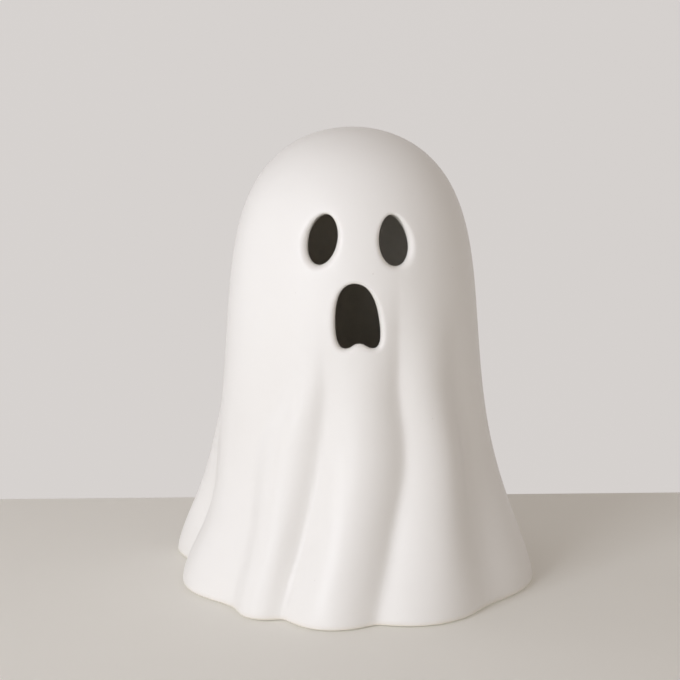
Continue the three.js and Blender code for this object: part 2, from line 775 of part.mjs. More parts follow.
// Diffuser: a frosted dome whose flange is trapped under the lid
const domeRise = diffuserHeight - diffuserSeat;
const domeInside = diffuserRadius - diffuserWall;
add(
  lightUnit,
  "light_diffuser",
  turned(
    [
      ...quarter.toReversed().map((turn) => [
        turn === quarter.at(-1) ? 0 : domeInside * Math.cos(turn),
        diffuserSeat + (domeRise - diffuserWall) * Math.sin(turn),
      ]),
      [domeInside, diffuserSeat],
      [domeInside, 0],
      [diffuserRadius + diffuserFlange, 0],
      [diffuserRadius + diffuserFlange, diffuserSeat],
      [diffuserRadius, diffuserSeat],
      ...quarter.map((turn) => [
        turn === quarter.at(-1) ? 0 : diffuserRadius * Math.cos(turn),
        diffuserSeat + domeRise * Math.sin(turn),
      ]),
    ],
    36,
  ),
  frosted,
  0,
  0,
  lidBottom - fit - diffuserSeat,
);

const lidHoles = postAngles.map((angle) =>
  post(screwShank + fit, lidBottom - 1, lidTop + 1, ...onCircle(postCircle, angle), fewSides),
);
add(
  lightUnit,
  "housing_lid",
  cut(
    post(cupRadius, lidBottom, lidTop, 0, 0, manySides),
    post(diffuserRadius + fit, lidBottom - 1, lidTop + 1, 0, 0, 36),
    ...lidHoles,
  ),
  plastic,
);

// A pan-head screw that hangs down from the underside of its head.
function screw(length) {
  return turned(
    [
      [0, -length],
      [0.7 * screwShank, -length],
      [screwShank, 0.5 - length],
      [screwShank, 0],
      [screwHead, 0],
      [screwHead, 0.5 * screwHeadHeight],
      [0.7 * screwHead, screwHeadHeight],
      [0, screwHeadHeight],
    ],
    fewSides,
  );
}
postAngles.forEach((angle, k) => {
  const [x, y] = onCircle(postCircle, angle);
  add(lightUnit, `lid_screw_${k + 1}`, screw(lidScrewLength), steel, x, y, lidTop + glue);
});
screwCorners.forEach(([x, y], k) => {
  add(lightUnit, `board_screw_${k + 1}`, screw(boardScrewLength), steel, x, y, boardTop + glue);
});

// Switch: its knob stands at off, to the left, and slides to the right
const switchBottom = unitFloor + fit;
const switchTop = switchBottom + switchBody.height;
const stemTop = switchTop - switchBody.wall - fit;
add(
  lightUnit,
  "switch_body",
  cut(
    block(switchBody.length, switchBody.width, switchBottom, switchTop),
    block(
      knob.stemLength + knobTravel + 2 * fit,
      knob.stemWidth + 2 * fit,
      switchBottom - 1,
      switchTop - switchBody.wall,
    ),
  ),
  darkPlastic,
  0,
  -switchY,
);
add(
  lightUnit,
  "switch_knob",
  cut(
    join(
      block(knob.length, knob.width, -knob.drop, unitFloor - fit),
      block(knob.stemLength, knob.stemWidth, 0, stemTop),
    ),
    ...gripGrooves({ ...knobGrip, length: knob.width + 1 }, -knob.drop, 0),
  ),
  darkPlastic,
  -knobTravel / 2,
  -switchY,
);

// Wires, by hand from one solder joint to the next
function wire(name, points, material) {
  const curve = new THREE.CatmullRomCurve3(points.map((point) => new THREE.Vector3(...point)));
  add(lightUnit, name, tube(curve, wireRadius, 16, 8), material);
}
const wireHeight = roofTop + wireRadius + 2 * fit;
const tabFace = plateX - plateThickness / 2 - fit;
const switchEnd = switchBody.length / 2 + fit;
const switchMiddle = switchBottom + switchBody.height / 2;
const boardMiddle = (boardBottom + boardTop) / 2;
const bayFace = bayWidth / 2 + bayWall;
wire(
  "wire_battery_to_switch",
  [
    [tabFace, -tabY, wireHeight],
    [tabFace - 1.2, -tabY, wireHeight],
    [tabFace - 2.6, -tabY - 6, wireHeight + 0.6],
    [tabFace - 6.5, -bayFace - 2, roofTop],
    [switchEnd + 6, -switchY + 1, switchMiddle + 4],
    [switchEnd + 1.2, -switchY, switchMiddle],
    [switchEnd, -switchY, switchMiddle],
  ],
  redSleeve,
);
wire(
  "wire_switch_to_board",
  [
    [-switchEnd, -switchY, switchMiddle],
    [-switchEnd - 1.2, -switchY, switchMiddle],
    [-switchEnd - 4.5, -switchY + 1.2, switchMiddle + 5],
    [-switchEnd - 4.5, -bayFace - 1.8, roofTop],
    [-switchEnd - 4, -board.width / 2 - 2.6, boardMiddle],
    [-switchEnd - 4, -board.width / 2 - fit, boardMiddle],
  ],
  redSleeve,
);
wire(
  "wire_battery_to_board",
  [
    [-tabFace, tabY, wireHeight],
    [1 - tabFace, tabY, wireHeight],
    [-board.length / 2 - fit - 1, tabY, boardMiddle],
    [-board.length / 2 - fit, tabY, boardMiddle],
  ],
  blackSleeve,
);

export default lamp;
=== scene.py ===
import math

import bmesh
import bpy
import numpy as np
from mathutils import Matrix, Vector


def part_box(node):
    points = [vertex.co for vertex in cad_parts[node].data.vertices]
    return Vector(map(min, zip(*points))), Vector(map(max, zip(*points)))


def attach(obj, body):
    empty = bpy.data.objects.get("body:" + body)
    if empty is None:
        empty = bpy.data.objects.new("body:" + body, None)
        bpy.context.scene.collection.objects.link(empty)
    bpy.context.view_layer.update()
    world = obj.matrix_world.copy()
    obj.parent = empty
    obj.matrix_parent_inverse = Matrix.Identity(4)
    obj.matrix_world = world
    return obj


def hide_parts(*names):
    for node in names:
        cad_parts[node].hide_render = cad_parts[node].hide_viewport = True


# Sizes are in millimetres, and every mesh is written in metres in the frame of the CAD model.
mm = 0.001

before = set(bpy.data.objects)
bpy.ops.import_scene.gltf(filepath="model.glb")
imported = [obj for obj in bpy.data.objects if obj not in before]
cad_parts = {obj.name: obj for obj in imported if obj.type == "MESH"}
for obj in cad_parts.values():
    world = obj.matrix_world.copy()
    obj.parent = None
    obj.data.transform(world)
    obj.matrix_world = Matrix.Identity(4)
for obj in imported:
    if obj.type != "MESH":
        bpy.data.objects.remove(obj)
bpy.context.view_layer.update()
print("frame loaded with", len(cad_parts), "nodes")


# Camera: a little above the lamp, a touch to its left

cameraPlace = {
    "azimuth": -2.1,
    "pitch": 11.5,
    "distance": 868.0,
    "aimAcross": -4.8,
    "aimHeight": 97.0,
    "lens": 116.47,
}


def makeCamera(place):
    azimuth = math.radians(place["azimuth"])
    pitch = math.radians(place["pitch"])
    right = Vector((math.cos(azimuth), math.sin(azimuth), 0.0))
    level = math.cos(pitch)
    back = Vector((math.sin(azimuth) * level, -math.cos(azimuth) * level, math.sin(pitch)))
    aim = right * place["aimAcross"] + Vector((0.0, 0.0, place["aimHeight"]))
    data = bpy.data.cameras.new("studioCamera")
    data.lens = place["lens"]
    data.clip_start, data.clip_end = 0.05, 50.0
    camera = bpy.data.objects.new("studioCamera", data)
    bpy.context.scene.collection.objects.link(camera)
    axes = Matrix((right, back.cross(right), back)).transposed()
    camera.matrix_world = Matrix.Translation((aim + back * place["distance"]) * mm) @ axes.to_4x4()
    bpy.context.scene.camera = camera


makeCamera(cameraPlace)
print("camera placed")


# Shader graphs, written as sums on sockets


class Reading:  # the value of one socket
    def __init__(self, finish, socket):
        self.finish, self.socket = finish, socket

    def maths(self, operation, first, second=0.0):
        return self.finish.maths(operation, first, second)

    def __add__(self, other):
        return self.maths("ADD", self, other)

    def __sub__(self, other):
        return self.maths("SUBTRACT", self, other)

    def __rsub__(self, other):
        return self.maths("SUBTRACT", other, self)

    def __mul__(self, other):
        return self.maths("MULTIPLY", self, other)

    __radd__, __rmul__ = __add__, __mul__

    def size(self):
        return self.maths("ABSOLUTE", self)

    def most(self, other):
        return self.maths("MAXIMUM", self, other)

    def least(self, other):
        return self.maths("MINIMUM", self, other)

    def above(self, edge, soft):  # 0 where it is well below the edge, 1 where it is well above
        limits = {"Value": self, "From Min": edge - soft, "From Max": edge + soft}
        return self.finish.node("MapRange", {"interpolation_type": "SMOOTHSTEP"}, limits)


def rgba(colour):
    return colour if isinstance(colour, Reading) else (*colour, 1.0)


def dimmed(colour, share):
    return tuple(share * part for part in colour)


class Finish:  # one material, with places on it read in millimetres
    def __init__(self, name, **uniform):
        self.material = bpy.data.materials.new(name)
        self.material.use_nodes = True
        self.tree = self.material.node_tree
        self.shader = self.tree.nodes["Principled BSDF"]
        for words, value in uniform.items():
            self.shader.inputs[words.replace("_", " ")].default_value = value
        metres = self.node("TexCoord", output="Object")
        self.place = self.node("VectorMath", {"operation": "SCALE"}, {0: metres, "Scale": 1 / mm})
        self.x, self.y, self.z = (
            self.node("SeparateXYZ", inputs={0: self.place}, output=axis) for axis in range(3)
        )

    def node(self, kind, settings=None, inputs=None, output=0):
        made = self.tree.nodes.new("ShaderNode" + kind)
        for name, value in (settings or {}).items():
            setattr(made, name, value)
        for name, value in (inputs or {}).items():
            if isinstance(value, Reading):
                self.tree.links.new(value.socket, made.inputs[name])
            else:
                made.inputs[name].default_value = value
        return Reading(self, made.outputs[output])

    def noise(self, grain, detail=2.0, place=None, roughness=0.5):  # grain is the size of its blots
        inputs = {"Vector": place or self.place, "Scale": 1 / grain, "Detail": detail, "Roughness": roughness}
        return self.node("TexNoise", inputs=inputs)

    def cells(self, pitch, output):
        return self.node("TexVoronoi", inputs={"Vector": self.place, "Scale": 1 / pitch}, output=output)

    def stretched(self, x, y, z):  # places squeezed along each axis, so that a pattern runs long there
        return self.node("VectorMath", {"operation": "MULTIPLY"}, {0: self.place, 1: (x, y, z)})

    def maths(self, operation, first, second=0.0):
        return self.node("Math", {"operation": operation}, {0: first, 1: second})

    def distance(self, x, y):  # from an upright line
        return self.maths("SQRT", (self.x - x) * (self.x - x) + (self.y - y) * (self.y - y))

    def attribute(self, name):
        return self.node("Attribute", {"attribute_name": name}, output="Fac")

    def mix(self, share, first, second):
        return self.node("Mix", {"data_type": "RGBA"}, {0: share, 6: rgba(first), 7: rgba(second)}, 2)

    def feed(self, socket, value):
        if isinstance(value, Reading):
            self.tree.links.new(value.socket, self.shader.inputs[socket])
        else:
            self.shader.inputs[socket].default_value = value

    def relief(self, height):  # height is in millimetres
        self.feed("Normal", self.node("Bump", inputs={"Height": height, "Distance": mm}))


# Finishes


def satinGlaze():
    look = {
        "glaze": (0.86, 0.842, 0.815),
        # this colour is the real thin glaze just above the foot, and also painted shade on each lip where it
        # rolls into its opening
        "thinGlazeAndLipShade": (0.80, 0.755, 0.69),
        "bisque": (0.79, 0.748, 0.665),
        "speck": (0.36, 0.31, 0.26),
        "glazeLine": 1.2,  # how high the bare clay of the foot reaches
        "gloss": 0.46,
        "pinholePitch": 7.5,
        "pinholeRadius": 0.03,  # as a share of the pitch
    }
    finish = Finish("satinGlaze", Specular_IOR_Level=0.42, Coat_Roughness=0.3)
    drift = finish.noise(26, 3)
    ripple = finish.noise(9, 2)
    peel = finish.noise(0.9, 2)
    grain = finish.noise(0.28, 1)
    foot = 1 - (finish.z - (ripple - 0.5) * 0.9).above(look["glazeLine"], 0.22)
    bare = finish.attribute("bare").most(foot).least(1.0)
    nearLine = (1 - (finish.z - (ripple - 0.5) * 1.2).above(look["glazeLine"] + 0.9, 0.8)) * 0.45
    # painted shade: the lip attribute grows as each lip rolls into its opening, and darkens the glaze toward
    # the thin colour there
    lip = finish.attribute("lip") * 0.35
    glaze = finish.mix((drift - 0.35) * 0.5, look["glaze"], dimmed(look["glaze"], 0.975))
    # real thin glaze near the foot, painted shade on the lips of the openings
    glaze = finish.mix(nearLine.most(lip), glaze, look["thinGlazeAndLipShade"])
    nearest = finish.cells(look["pinholePitch"], "Distance").above(look["pinholeRadius"], 0.012)
    chance = finish.node("SeparateColor", inputs={0: finish.cells(look["pinholePitch"], "Color")})
    pinhole = (1 - nearest) * chance.above(0.74, 0.01)
    glaze = finish.mix(pinhole * 0.3, glaze, look["speck"])
    bisque = finish.mix((finish.noise(3.2, 4) - 0.3) * 1.1, look["bisque"], dimmed(look["bisque"], 0.9))
    finish.feed("Base Color", finish.mix(bare, glaze, bisque))
    finish.feed("Roughness", (look["gloss"] + (drift - 0.5) * 0.1 + pinhole * 0.2) * (1 - bare) + bare * 0.9)
    finish.feed("Coat Weight", (1 - bare) * 0.12)
    finish.relief(ripple * 0.05 + peel * 0.006 - pinhole * 0.03 + bare * grain * 0.05)
    return finish.material


def mouldedPlastic(name, colour, gloss=0.46, texture=0.012):
    finish = Finish(name, Specular_IOR_Level=0.5)
    spark = finish.noise(0.22, 2)  # the fine texture of the mould
    flow = finish.noise(14, 2, finish.stretched(1, 0.35, 1))
    dust = finish.noise(5, 4)
    shade = finish.mix((flow - 0.4) * 0.7, colour, dimmed(colour, 0.93))
    finish.feed("Base Color", finish.mix((dust - 0.52) * 0.5, shade, dimmed(colour, 0.8)))
    finish.feed("Roughness", gloss + (spark - 0.5) * 0.16 + (dust - 0.5) * 0.12)
    finish.relief(spark * texture + flow * 0.01)
    return finish.material


def frostedPlastic():
    glow = {"Subsurface_Weight": 0.55, "Subsurface_Scale": 0.004, "Subsurface_Radius": (1.0, 0.8, 0.5)}
    finish = Finish("frostedPlastic", Specular_IOR_Level=0.5, **glow)
    frost = finish.noise(0.35, 2)
    # painted shade: the dome is painted darker and warmer below 34 mm and lighter above it
    depth = finish.z.above(34, 8)
    shade = finish.mix(depth, (0.80, 0.77, 0.69), (0.88, 0.86, 0.80))
    finish.feed("Base Color", finish.mix((finish.noise(8, 3) - 0.45) * 0.5, shade, (0.78, 0.74, 0.66)))
    finish.feed("Roughness", 0.5 + (frost - 0.5) * 0.25)
    finish.relief(frost * 0.014)
    return finish.material


def siliconeRubber():
    glow = {"Subsurface_Weight": 0.3, "Subsurface_Scale": 0.002}
    finish = Finish("siliconeRubber", Specular_IOR_Level=0.35, Sheen_Weight=0.15, **glow)
    lint = finish.noise(1.1, 5, roughness=0.7)
    clouds = finish.noise(6, 2)
    shade = finish.mix((clouds - 0.35) * 0.9, (0.66, 0.66, 0.64), (0.58, 0.58, 0.565))
    finish.feed("Base Color", finish.mix(lint.above(0.63, 0.05) * 0.5, shade, (0.8, 0.79, 0.77)))
    finish.feed("Roughness", 0.62 + (lint - 0.5) * 0.3)
    finish.relief(clouds * 0.02 + finish.noise(0.4, 2) * 0.012)
    return finish.material


def platedMetal(name, colour, tarnish, gloss, grainAlong):
    finish = Finish(name)
    brushed = finish.noise(0.5, 3, finish.stretched(*grainAlong))
    clouds = finish.noise(3.5, 4)
    shade = finish.mix((clouds - 0.42) * 1.5, colour, tarnish)
    finish.feed("Base Color", finish.mix((brushed - 0.5) * 0.5, shade, dimmed(colour, 0.75)))
    finish.feed("Metallic", 1.0 - (clouds.above(0.68, 0.05)) * 0.35)
    finish.feed("Roughness", gloss + (brushed - 0.5) * 0.22 + (clouds - 0.5) * 0.2)
    finish.relief(brushed * 0.006 + clouds * 0.006)
    return finish.material


def leadInsulation(name, colour, sheen):
    finish = Finish(name, Specular_IOR_Level=0.5)
    die = finish.noise(0.3, 2)
    wearAndSheen = finish.noise(2.4, 3)
    # painted sheen: blotches of the lighter sheen colour where this noise runs high; the same noise varies
    # the roughness as wear
    finish.feed("Base Color", finish.mix((wearAndSheen - 0.4) * 0.9, colour, sheen))
    finish.feed("Roughness", 0.36 + (die - 0.5) * 0.2 + (wearAndSheen - 0.5) * 0.15)
    finish.relief(die * 0.008)
    return finish.material


# A drape and its folds. A valley climbs the body: path is its angle in degrees at four heights from
# the hem up to pathTop, top the height where it dies out, hem how far its foot lies outside
# hemRadius, dip how far it is drawn in, soft how gently it opens and round how wide its bottom is
# rounded, in degrees. lobe is the hem and the dip of what follows it.
drape = {
    "height": 181.0,
    "bodyRadius": 49.0,
    "domePower": 7.3,
    "flareHeight": 47.0,
    "flarePower": 1.48,
    "foldRun": 65.0,
    "hemRun": 22.0,
    "hemDip": 0.15,
    "hemRadius": 68.0,
    "pathTop": 90.0,
    "skinInset": 0.14,  # keeps the smooth skin inside the flat faces of the solid
}
foldWords = ("path", "top", "hem", "dip", "soft", "round", "lobe")
foldRows = [
    ((-105.3, -100.8, -95.5, -102.5), 70, 1, 6.9, 1.3, 1.5, (1.1, 4.7)),
    ((-51.8, -52, -53.8, -35.5), 117, -4.5, 3.9, 1.2, 14, (0.1, 0.6)),
    ((-27.2, -22.5, -17.4, -13.9), 113, -4.2, 4.4, 1.1, 1.7, (2.8, 1.2)),
    ((5.8, 13.5, 21.5, 19.1), 135, -3.2, 3.8, 1.2, 1.3, (2.6, -0.5)),
    ((51.6, 55.8, 60.4, 55.2), 123, -1, 3.9, 1.3, 5.3, (5, -0.2)),
    ((122, 121, 119, 118), 104, -2, 5, 1.2, 3, (3.5, 0.5)),
    ((156, 154, 151, 150), 112, -3, 4.5, 1, 3, (2, 0.5)),
    ((191, 191, 188, 184), 110, -3.5, 4.5, 1, 3, (2.5, 0.5)),
    ((215, 219.5, 228.5, 228.5), 90, -2.8, 4, 1.2, 4, (15.5, 0.4)),
]
folds = [dict(zip(foldWords, row)) for row in foldRows]
foldSizes = {
    word: np.array([fold[word] for fold in folds + folds[:1]], float)
    for word in ("top", "hem", "dip", "soft", "round")
}
lobeSizes = np.array([fold["lobe"] for fold in folds], float)


def valleyAngles(z):  # the angle of every valley at each height, the first one again at the end
    along = np.clip(np.asarray(z, float) / drape["pathTop"], 0, 1) * 3
    first = np.minimum(along.astype(int), 2)
    t = (along - first)[..., None]
    path = np.array([fold["path"] for fold in folds], float)
    before, start, end, after = (path[:, np.clip(first + step, 0, 3)] for step in (-1, 0, 1, 2))
    before, start, end, after = (np.moveaxis(part, 0, -1) for part in (before, start, end, after))
    leave, arrive = (end - before) / 2, (after - start) / 2
    bend = 3 * (end - start) - 2 * leave - arrive
    angles = ((2 * (start - end) + leave + arrive) * t + bend) * t**2 + leave * t + start
    return np.concatenate([angles, angles[..., :1] + 360], -1)


def smoothShare(value):
    value = np.clip(value, 0, 1)
    return value * value * (3 - 2 * value)


def risen(turn, rounding, width):  # the rise out of a rounded valley, 1 at the middle of the lobe
    return (np.hypot(turn, rounding) - rounding) / (np.hypot(width / 2, rounding) - rounding)


def foldedRadius(angle, z):
    valleys = valleyAngles(z)
    first = valleys[..., 0]
    turned = first + np.mod(angle - first, 360)
    i = np.clip((turned[..., None] >= valleys[..., :-1]).sum(-1) - 1, 0, len(folds) - 1)
    start = np.take_along_axis(valleys, i[..., None], -1)[..., 0]
    width = np.take_along_axis(valleys, i[..., None] + 1, -1)[..., 0] - start
    through = (turned - start) / width
    between = {word: size[i] + (size[i + 1] - size[i]) * through for word, size in foldSizes.items()}
    ease = smoothShare(through)
    eased = {
        word: foldSizes[word][i] + (foldSizes[word][i + 1] - foldSizes[word][i]) * ease
        for word in ("hem", "dip")
    }
    leaving = risen(through * width, foldSizes["round"][i], width)
    arriving = risen((1 - through) * width, foldSizes["round"][i + 1], width)
    swell = np.maximum(leaving * arriving, 0) ** between["soft"]
    hem = eased["hem"] + (lobeSizes[i, 0] - eased["hem"]) * swell
    dip = eased["dip"] + (lobeSizes[i, 1] - eased["dip"]) * swell
    flare = np.exp(-((np.maximum(z, 0) / drape["flareHeight"]) ** drape["flarePower"]))
    drawn = smoothShare((between["top"] - z) / drape["foldRun"])
    drawn = drawn * (1 - (1 - drape["hemDip"]) * np.exp(-((z / drape["hemRun"]) ** 2)))
    dome = np.sqrt(np.clip(1 - (z / drape["height"]) ** drape["domePower"], 0, 1))
    spread = drape["hemRadius"] + hem - drape["bodyRadius"]
    return dome * (drape["bodyRadius"] + spread * flare) - dip * drawn


def ghostRadius(angle, z):
    angle, z = np.broadcast_arrays(np.asarray(angle, float), np.asarray(z, float))
    return np.maximum(foldedRadius(angle, z) - drape["skinInset"], 0)


def around(angle, radius, z):
    turn = np.radians(angle)
    return np.stack(np.broadcast_arrays(radius * np.sin(turn), -radius * np.cos(turn), z), -1)


# Eyes and mouth. Outlines are in millimetres along the wall, from each opening's own middle.
ghostFace = {
    "leftEye": {
        "angle": -17.8,
        "z": 143.4,
        "width": 11.9,
        "height": 18.7,
        "egg": -0.02,
        "lean": 9.5,
        "roll": 2.7,
    },
    "rightEye": {
        "angle": 19,
        "z": 142.9,
        "width": 12.2,
        "height": 18.8,
        "egg": 0.07,
        "lean": -3,
        "roll": 2.5,
    },
    "mouth": {
        "angle": 0.9,
        "z": 103.3,
        "width": 17.8,
        "height": 24.3,
        "sill": 1.9,
        "lean": -4.4,
        "roll": 2.2,
    },
}
lip = {
    "upperShare": 0.65,  # the roll is narrower above
    "steps": 7,
    "throat": 3.9,
    "undercut": 0.9,
    "innerReach": 1.3,
    "band": 5.0,
}
openingDetail = {
    "eyePoints": 360,
    "curvePoints": 60,
    "reach": 40,  # no opening reaches further than this from its middle
    "rimStride": 6,
    "relaxRounds": 60,
    "evenRounds": 12,
}


def leaned(outline, lean):
    turn = math.radians(-lean)
    return outline @ np.array([[math.cos(turn), math.sin(turn)], [-math.sin(turn), math.cos(turn)]])


def eyeOutline(eye):
    turn = np.linspace(0, 2 * math.pi, openingDetail["eyePoints"], endpoint=False)
    across = eye["width"] / 2 * np.cos(turn) * (1 - eye["egg"] * np.sin(turn))
    return leaned(np.stack([across, eye["height"] / 2 * np.sin(turn)], -1), eye["lean"])


def mouthOutline(mouth, sill):
    half, height = mouth["width"] / 2, mouth["height"]
    corners = [
        [(0, sill), (0.28 * half, sill), (0.32 * half, 0), (0.62 * half, 0)],
        [(0.62 * half, 0), (0.9 * half, 0), (half, 0.12 * height), (half, 0.28 * height)],
        [(half, 0.28 * height), (half, 0.68 * height), (0.74 * half, height), (0, height)],
    ]
    t = np.linspace(0, 1, openingDetail["curvePoints"], endpoint=False)[:, None]
    curves = [
        (1 - t) ** 3 * a + 3 * (1 - t) ** 2 * t * b + 3 * (1 - t) * t**2 * c + t**3 * d
        for a, b, c, d in np.array(corners, float)
    ]
    right = np.concatenate(curves)
    top = np.array([[0.0, height]])
    left = right[:0:-1] * (-1, 1)
    outline = np.concatenate([right, top, left])
    outline[:, 0] += outline[:, 1] * math.tan(math.radians(mouth["lean"]))
    return outline


def grown(outline, distance):
    along = np.roll(outline, -1, 0) - np.roll(outline, 1, 0)
    along /= np.linalg.norm(along, axis=1)[:, None]
    return outline + np.stack([along[:, 1], -along[:, 0]], -1) * distance


def makeOpening(face):
    throat = mouthOutline(face, face["sill"]) if "sill" in face else eyeOutline(face)
    plain = mouthOutline(face, 0) if "sill" in face else throat
    scale = 180 / (math.pi * float(ghostRadius(face["angle"], face["z"])))
    height = (plain[:, 1:] - plain[:, 1].min()) / np.ptp(plain[:, 1])
    roll = face["roll"] * (1 - (1 - lip["upperShare"]) * smoothShare(height * 2 - 1))
    place = {"scale": scale, "angle": face["angle"], "z": face["z"]}
    return {"throat": throat, "rim": grown(plain, roll), "roll": roll, **place}


def insideOutline(outline, x, y):
    inside = np.zeros(x.shape, bool)
    for (ax, ay), (bx, by) in zip(outline, np.roll(outline, -1, 0)):
        if ay != by:
            inside ^= ((ay > y) != (by > y)) & (x < (bx - ax) * (y - ay) / (by - ay) + ax)
    return inside


openings = {name: makeOpening(face) for name, face in ghostFace.items()}


def newPiece(name, mesh, finishes, slot, body, replaced, keepAngle=None):
    for face in mesh.faces:
        face.smooth = True
    if keepAngle is not None:
        for edge in mesh.edges:
            edge.smooth = edge.calc_face_angle(0.0) < math.radians(keepAngle)
    data = bpy.data.meshes.new(name)
    mesh.to_mesh(data)
    mesh.free()
    for material in finishes:
        data.materials.append(material)
    piece = bpy.data.objects.new(name, data)
    bpy.context.scene.collection.objects.link(piece)
    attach(piece, body)
    if replaced:
        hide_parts(*replaced)
    return piece


# Ghost shell: one skin from the crown down to the hem, round the foot, over the floor and up inside

shell = {
    "columns": 300,
    "domeEdge": 75,
    "domeRows": 50,
    "bodyRows": 91,
    "wall": 4.5,
    "hemLift": 0.45,
    "hemRound": 1.2,
    "footWidth": 6.0,
    "floorBottom": 2.2,
    "floorTop": 7.2,
    "floorFillet": 3.0,
    "recessRadius": 42.25,
    "recessTop": 4.5,
    "holeRadius": 36.95,
    "edge": 0.35,
}


def columnShares(count):  # each column's fold, and its share of the way to the next one
    ends = valleyAngles(0.0)
    steps = np.round(np.cumsum(np.diff(ends, prepend=ends[0])) / 360 * count).astype(int)
    fold = np.concatenate([np.full(b - a, i) for i, (a, b) in enumerate(zip(steps, steps[1:]))])
    share = np.concatenate([np.arange(b - a) / (b - a) for a, b in zip(steps, steps[1:])])
    return fold, share


columnFold, columnShare = columnShares(shell["columns"])


def columnAngles(z):
    valleys = valleyAngles(z)
    return valleys[..., columnFold] + (valleys[..., columnFold + 1] - valleys[..., columnFold]) * columnShare


def innerPlace(angle, z):
    step = 0.05
    radius = ghostRadius(angle, z)
    slope = (ghostRadius(angle, z + step) - ghostRadius(angle, z - step)) / (2 * step)
    inward = shell["wall"] / np.hypot(1, slope)
    return around(angle, radius - inward, z + slope * inward)


def outerPlace(angle, z, depth=0.0):
    return around(angle, ghostRadius(angle, z) - depth, z)


def shellRows():
    turns = np.radians(np.linspace(0, shell["domeEdge"], shell["domeRows"] + 1))
    domeHeights = drape["height"] * np.cos(turns) ** (2 / drape["domePower"])
    bottom = shell["hemLift"] + shell["hemRound"]
    straight = np.linspace(domeHeights[-1], bottom, shell["bodyRows"] + 1)[1:]
    heights = np.concatenate([domeHeights, straight])
    angles = columnAngles(heights)
    radii = ghostRadius(angles, heights[:, None])
    outer = around(angles, radii, heights[:, None])
    low = columnAngles(shell["hemLift"])
    foot = ghostRadius(low, shell["hemLift"])
    under = []
    for turn in np.radians((30, 60, 90)):
        z = shell["hemLift"] + shell["hemRound"] * (1 - math.sin(turn))
        under.append(around(low, ghostRadius(low, z) - shell["hemRound"] * (1 - math.cos(turn)), z))
    words = ("edge", "floorBottom", "recessRadius", "holeRadius")
    edge, floor, recess, hole = (shell[word] for word in words)
    inFoot = foot - shell["footWidth"]
    for radius, z in (
        (inFoot + edge, shell["hemLift"]),
        (inFoot, shell["hemLift"] + edge),
        (inFoot, floor - edge),
        (inFoot - edge, floor),
        (inFoot * 0.5 + recess * 0.5, floor),
        (recess + edge, floor),
        (recess, floor + edge),
        (recess, shell["recessTop"]),
        (hole + edge, shell["recessTop"]),
        (hole, shell["recessTop"] + edge),
        (hole, shell["floorTop"] - edge),
        (hole + edge, shell["floorTop"]),
        (hole * 0.6 + inFoot * 0.4, shell["floorTop"]),
    ):
        under.append(around(low, radius, z))
    top = shell["floorTop"]
    filletFoot = ghostRadius(low, top) - shell["wall"] - shell["floorFillet"]
    under.append(around(low, filletFoot, top))
    inside = heights > top + shell["floorFillet"]
    slopes = np.gradient(radii, axis=0), np.gradient(heights)[:, None]
    length = np.hypot(*slopes)
    across, up = (shell["wall"] * slope / length for slope in slopes[::-1])
    inner = around(angles, radii + across, heights[:, None] - up)
    inner[0] = (0, 0, drape["height"] - shell["wall"])
    innerRows = np.flatnonzero(inside)[::-1]
    lowest = inner[innerRows[0]]
    corner = around(low, filletFoot + shell["floorFillet"] * 0.72, top + 0.75)
    under.append(corner * 0.8 + lowest * 0.2)
    places = np.concatenate([outer, under, inner[innerRows]])
    return places, heights, angles, innerRows, len(outer) + len(under)


def spunRound(mesh, chain, steps):  # a full turn round the Z axis
    bmesh.ops.spin(
        mesh, geom=chain, cent=(0, 0, 0), axis=(0, 0, 1), angle=2 * math.pi, steps=steps, use_merge=True
    )


def spunSkin(rows, columns):  # a tube of rows and columns, with the number of each on its vertices
    skin = bmesh.new()
    rowOf, columnOf = (skin.verts.layers.int.new(word) for word in ("row", "column"))
    bare, lipShade = (skin.verts.layers.float.new(word) for word in ("bare", "lip"))
    chain = [skin.verts.new((1, 0, -i)) for i in range(rows)]
    edges = [skin.edges.new(pair) for pair in zip(chain, chain[1:])]
    spunRound(skin, chain + edges, columns)
    grid = [[None] * columns for _ in range(rows)]
    for vertex in skin.verts:
        row = round(-vertex.co.z)
        column = round(math.atan2(vertex.co.y, vertex.co.x) / (2 * math.pi) * columns) % columns
        vertex[rowOf], vertex[columnOf] = row, column
        grid[row][column] = vertex
    return skin, grid, rowOf, columnOf, bare, lipShade


def withoutPinches(cut):  # faces that touch at one corner alone get a third face beside them
    for along in (1, -1):
        below = np.roll(cut, -1, 0)
        cut = cut | (below & np.roll(cut, along, 1) & ~np.roll(below, along, 1))
    return cut


def openingCut(opening, angles, levels):  # the faces it takes out, and the vertices round its edge
    rim, stride = opening["rim"], openingDetail["rimStride"]
    x = (np.mod(angles - opening["angle"] + 180, 360) - 180) / opening["scale"]
    y = levels - opening["z"]
    middleX, middleY = (
        (part[:-1] + part[1:] + np.roll(part, -1, 1)[:-1] + np.roll(part, -1, 1)[1:]) / 4 for part in (x, y)
    )
    nearby = np.hypot(x, y) < openingDetail["reach"]
    cut = withoutPinches(insideOutline(rim, middleX, middleY) & nearby[:-1])
    touched = np.zeros(x.shape, int)
    for down in (0, 1):
        for along in (0, 1):
            touched[down : down + len(cut)] += np.roll(cut, along, 1)
    distance = np.min(np.hypot(x[..., None] - rim[::stride, 0], y[..., None] - rim[::stride, 1]), -1)
    edge = (touched > 0) & (touched < 4)
    band = (distance < lip["band"]) & nearby
    return {"x": x, "y": y, "faces": cut, "gone": touched == 4, "edge": edge, "band": band}


